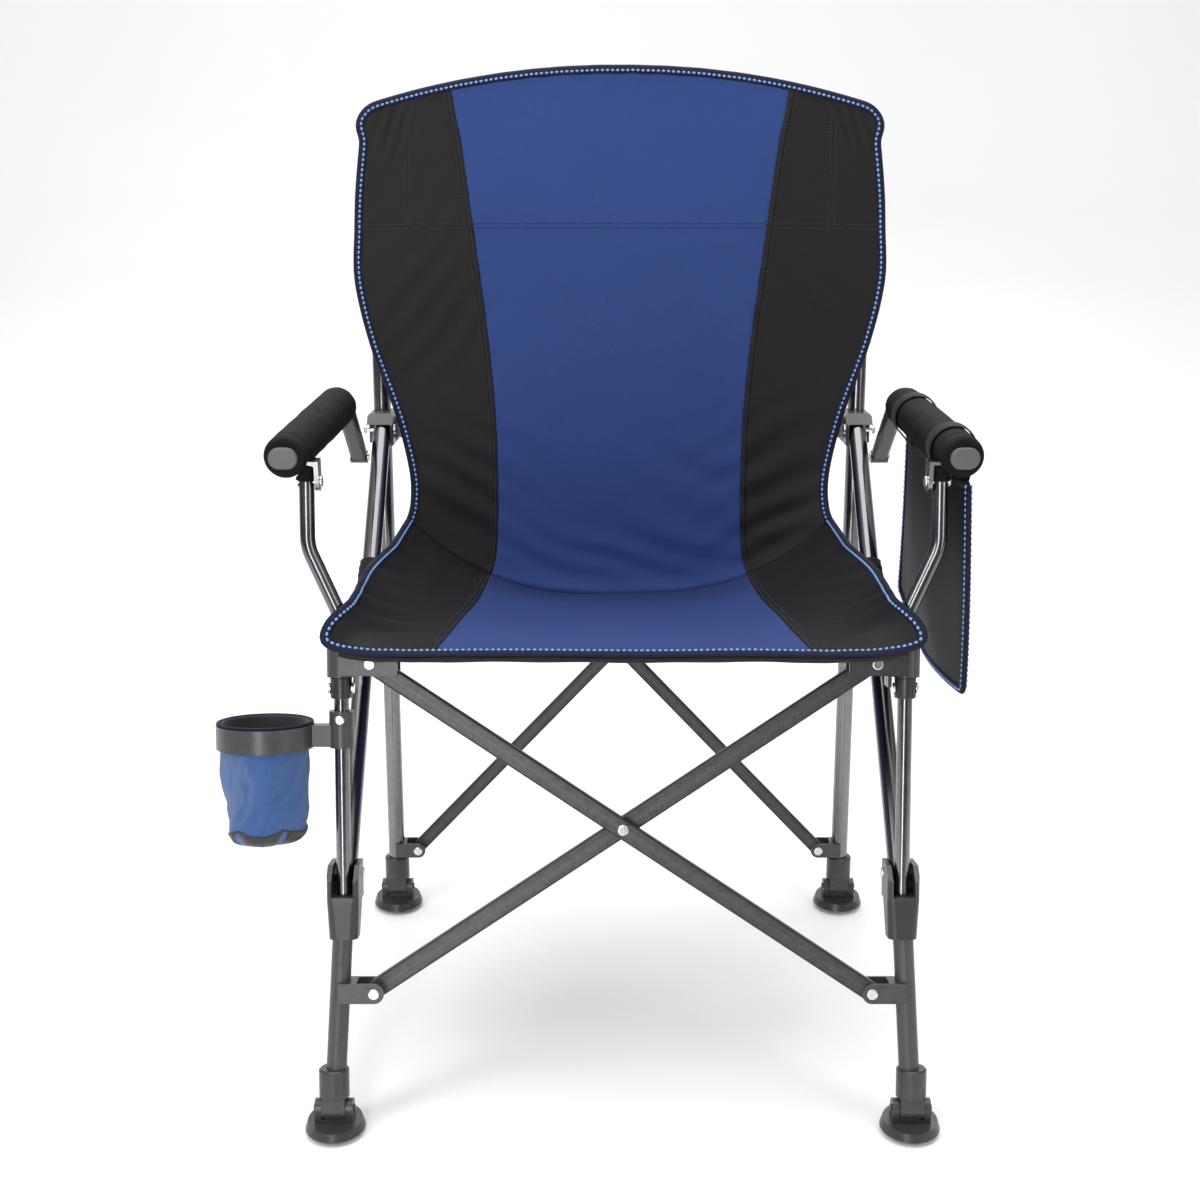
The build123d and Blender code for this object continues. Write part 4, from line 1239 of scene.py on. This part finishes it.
# ------------------------------------------------------------------ side pouch
@dataclass
class SidePouch:
    """The flat pouch that hangs outboard of the right grip, with its binding and straps."""

    finishes: Finishes
    rows: int = 60
    columns: int = 50
    half_room: float = 0.0060
    rim_z: float = 0.594
    front_x: float = 0.3140
    rear_x: float = 0.2975
    leaf_cut: tuple[float, float] = (0.220, 0.206)
    strap_places: tuple[float, float] = (-0.062, 0.078)
    strap_half_width: float = 0.0110

    def outline(self, share: float) -> tuple[float, float]:
        """Gives the pouch's front and rear y at a share of the way down its hanging length."""
        return -0.096 - 0.004 * math.sin(math.pi * share), 0.116 - 0.003 * share

    def bottom_z(self, y: float) -> float:
        """Gives the height of the bottom edge at one y: low at the front, rising to the rear."""
        places = (-0.100, -0.060, 0.020, 0.070, 0.120)
        heights = (0.3945, 0.3925, 0.3935, 0.4100, 0.4330)
        return float(np.interp(y, places, heights))

    def middle_x(self, y: float) -> float:
        """Gives the pouch's middle plane, which runs with the arm bar."""
        return self.front_x + (y + 0.094) * (self.rear_x - self.front_x) / 0.212

    def leaf(self, face: int) -> np.ndarray:
        """Gives one side of the pouch.

        Args:
            face: 1 for the outboard side, -1 for the inboard side.

        Returns:
            Points as rows x columns x 3.
        """
        grid = np.zeros((self.rows, self.columns, 3))
        for r in range(self.rows):
            down = r / (self.rows - 1)
            front, rear = self.outline(down)
            for c in range(self.columns):
                along = c / (self.columns - 1)
                y = front + (rear - front) * along
                z = self.rim_z + (self.bottom_z(y) - self.rim_z) * down
                belly = (math.sin(math.pi * along) ** 0.6) * (1 - down**6) * self.half_room
                drape = 0.0016 * math.sin(7.5 * along + 2.2 * down) * down
                crumple = 0.0022 * noise.noise(Vector((y * 13, z * 9, 4.0))) * math.sin(math.pi * along)
                flare = 0.0075 * down * (1 - along) ** 2
                grid[r, c] = (self.middle_x(y) + face * belly + drape + crumple + flare, y, z)
        return grid

    def build(self) -> None:
        """Makes the leaves, the binding with its stitches, and the two straps."""
        cloth = self.finishes.black_cloth
        for face, name in ((1, "pouch_outer_leaf"), (-1, "pouch_inner_leaf")):
            grid = self.leaf(face)
            uv = grid[:, :, (1, 2)].reshape(-1, 2)
            leaf = make_piece(name, grid.reshape(-1, 3), grid_faces(self.rows, self.columns), cloth, uv)
            thicken(leaf, 0.0014)
            self.dress(leaf, "black_cloth")
        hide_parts("storage_bag")
        self.edge_binding()
        self.straps()
        LOG.info("side pouch: two leaves, binding and straps")

    def dress(self, piece: bpy.types.Object, slot: str) -> None:
        """Lets a piece swing with the right arm."""
        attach(piece, "right_arm")

    def edge_binding(self) -> None:
        """Binds the front, bottom and rear edges, and the mouth."""
        grid = (self.leaf(1) + self.leaf(-1)) / 2
        path = np.vstack([grid[:, 0], grid[-1, 1:-1], grid[::-1, -1]])
        lifts = same_way(SIDEWAYS, len(path))
        even, (out,) = resample(path, [lifts], 0.004)
        even = eased(even, 2)
        verts, faces, uv = sweep(even, out, 0.0046, 0.0028)
        bound = make_piece("pouch_binding", verts, faces, self.finishes.piping, uv)
        self.dress(bound, "piping")
        rows = [Stitch().row(even + out * face * 0.0026, out * face) for face in (-1, 1)]
        verts, faces = join_parts(rows)
        sewn = make_piece("pouch_binding_stitches", verts, faces, self.finishes.pale_thread)
        self.dress(sewn, "piping")
        parts = []
        for face in (1, -1):
            rim = self.leaf(face)[0]
            out = same_way((float(face), 0.0, 0.0), len(rim))
            verts, faces, _ = sweep(rim, out, 0.0038, 0.0016, segments=10)
            parts.append((verts, faces))
        verts, faces = join_parts(parts)
        mouth = make_piece("pouch_mouth_tape", verts, faces, self.finishes.webbing)
        self.dress(mouth, "black_cloth")

    def straps(self) -> None:
        """Hangs the pouch from two flat straps that go up over the grip."""
        low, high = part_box("right_arm_grip")
        radius = (high.z - low.z) / 2
        level = (low.z + high.z) / 2
        slope = ((low.x + radius) - (high.x - radius)) / (high.y - low.y)
        for index, y in enumerate(self.strap_places):
            middle = (high.x - radius) + (y - low.y) * slope
            reach = radius + 0.0018
            side = self.middle_x(y) + self.half_room
            start, end = -0.32, math.pi + 0.75
            turns = np.linspace(start, end, 40)
            arc = [(middle + reach * math.cos(t), level + reach * math.sin(t)) for t in turns]
            tail = [(side + 0.0012, self.rim_z - 0.026), (side + 0.0012, self.rim_z - 0.004)]
            tuck = [(self.middle_x(y) - self.half_room - 0.001, self.rim_z - 0.002)]
            line = np.array([(x, y, z) for x, z in tail + arc + tuck])
            ahead = unit(np.gradient(line, axis=0))
            out = unit(np.cross(same_way((0.0, 1.0, 0.0), len(line)), ahead))
            verts, faces, uv = sweep(line, out, self.strap_half_width, 0.0009, segments=12)
            strap = make_piece(f"pouch_strap_{index + 1}", verts, faces, self.finishes.webbing, uv)
            self.dress(strap, "black_cloth")


# ------------------------------------------------------------------ carried-over solids
@dataclass
class FrameDressing:
    """Gives every solid that stays its finish."""

    finishes: Finishes

    def build(self) -> None:
        """Assigns the finishes by the record's slots."""
        record = frame["record"]
        slots = {part["node"]: part["material_slot"] for part in record["subparts"]}
        for node, solid in frame["nodes"].items():
            for place in solid.material_slots:
                place.link = "OBJECT"
                place.material = getattr(self.finishes, slots[node])
        LOG.info("frame: %d solids dressed", len(frame["nodes"]))


# ------------------------------------------------------------------ studio
@dataclass
class Studio:
    """Pale floor, soft lights and the camera."""

    camera_place: Triple = (-0.0215, -1.5547, 0.9673)
    camera_tilt_deg: float = 71.72
    lens_mm: float = 49.5

    def floor(self) -> None:
        """Lays a floor that curves up into a backdrop."""
        rows = [(-4.0, 0.0), (1.6, 0.0), (2.2, 0.06), (2.7, 0.35), (2.95, 0.9), (3.0, 4.0)]
        steps = 60
        curve = smooth_rows(rows, steps)
        verts = np.array([(x, y, z - 0.0005) for y, z in curve for x in (-5.0, 5.0)])
        material = bpy.data.materials.new("studio_paper")
        material.use_nodes = True
        tree = Tree(material.node_tree)
        shader = next(n for n in material.node_tree.nodes if n.type == "BSDF_PRINCIPLED")
        grain = tree.speckle(tree.coordinates(Coords.OBJECT), 3.0, 2.0)
        paper = tree.mix(grain, (0.93, 0.93, 0.93, 1), (0.96, 0.96, 0.96, 1))
        tree.link(paper, shader.inputs["Base Color"])
        shader.inputs["Roughness"].default_value = 0.9
        floor = make_piece("studio_floor", verts, grid_faces(steps, 2), material)

    def light(self, name: str, place: Triple, aim: Triple, size: tuple[float, float], power: float) -> None:
        """Hangs one soft box.

        Args:
            name: The light's name.
            place: Where it hangs.
            aim: What it points at.
            size: Its width and height.
            power: Its power in watts.
        """
        data = bpy.data.lights.new(name, "AREA")
        data.shape = "RECTANGLE"
        data.size, data.size_y = size
        data.energy = power
        lamp = bpy.data.objects.new(name, data)
        lamp.location = place
        lamp.rotation_euler = (Vector(aim) - Vector(place)).to_track_quat("-Z", "Y").to_euler()
        bpy.context.scene.collection.objects.link(lamp)

    def build(self) -> None:
        """Sets up floor, lights, surroundings and camera."""
        self.floor()
        chair = (0.0, 0.0, 0.5)
        self.light("key_box", (-1.9, -1.3, 2.0), chair, (0.7, 1.6), 24.0)
        self.light("front_box", (-0.55, -2.7, 0.9), (0.0, 0.0, 0.45), (0.55, 2.2), 31.0)
        self.light("fill_box", (1.9, -1.5, 1.3), chair, (0.6, 1.8), 11.0)
        self.light("top_box", (0.0, 0.3, 2.8), (0, 0, 0), (2.6, 2.2), 55.0)
        self.light("rear_box", (0.2, 2.2, 1.9), (0, 0, 0.6), (2.0, 1.0), 16.0)
        world = bpy.data.worlds.new("studio_air")
        bpy.context.scene.world = world
        world.use_nodes = True
        tree = Tree(world.node_tree)
        sky = world.node_tree.nodes["Background"]
        facing = tree.node("ShaderNodeSeparateXYZ", {0: tree.node("ShaderNodeTexCoord").outputs["Generated"]})
        high = tree.node("ShaderNodeMapRange", {"Value": facing.outputs[2], "From Min": 0.0, "From Max": 0.9})
        air = tree.mix(high.outputs[0], (0.16, 0.16, 0.17, 1), (1.0, 1.0, 1.0, 1))
        tree.link(air, sky.inputs["Color"])
        sky.inputs["Strength"].default_value = 0.75
        data = bpy.data.cameras.new("camera")
        data.lens = self.lens_mm
        data.sensor_width = 36.0
        data.dof.use_dof = False
        camera = bpy.data.objects.new("camera", data)
        camera.location = self.camera_place
        camera.rotation_euler = (math.radians(self.camera_tilt_deg), 0.0, 0.0)
        bpy.context.scene.collection.objects.link(camera)
        bpy.context.scene.camera = camera
        bpy.context.scene.view_settings.view_transform = "Standard"
        LOG.info("studio: floor, five lights and the camera")


def corners(box: tuple[Vector, Vector]) -> list[list[float]]:
    """Gives a box's two corners as plain lists."""
    return [[float(v) for v in corner] for corner in box]


def main() -> None:
    """Builds the chair's soft parts, dresses the solids and sets up the studio."""
    logging.basicConfig(level=logging.INFO, format="%(name)s: %(message)s")
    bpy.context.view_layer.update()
    finishes = Finishes()
    FrameDressing(finishes).build()
    Sling(finishes).build()
    FoamGrips(finishes).build()
    PostShadeCaps(finishes).build()
    CupCloth(finishes).build()
    SidePouch(finishes).build()
    Studio().build()


if __name__ == "__main__":
    main()
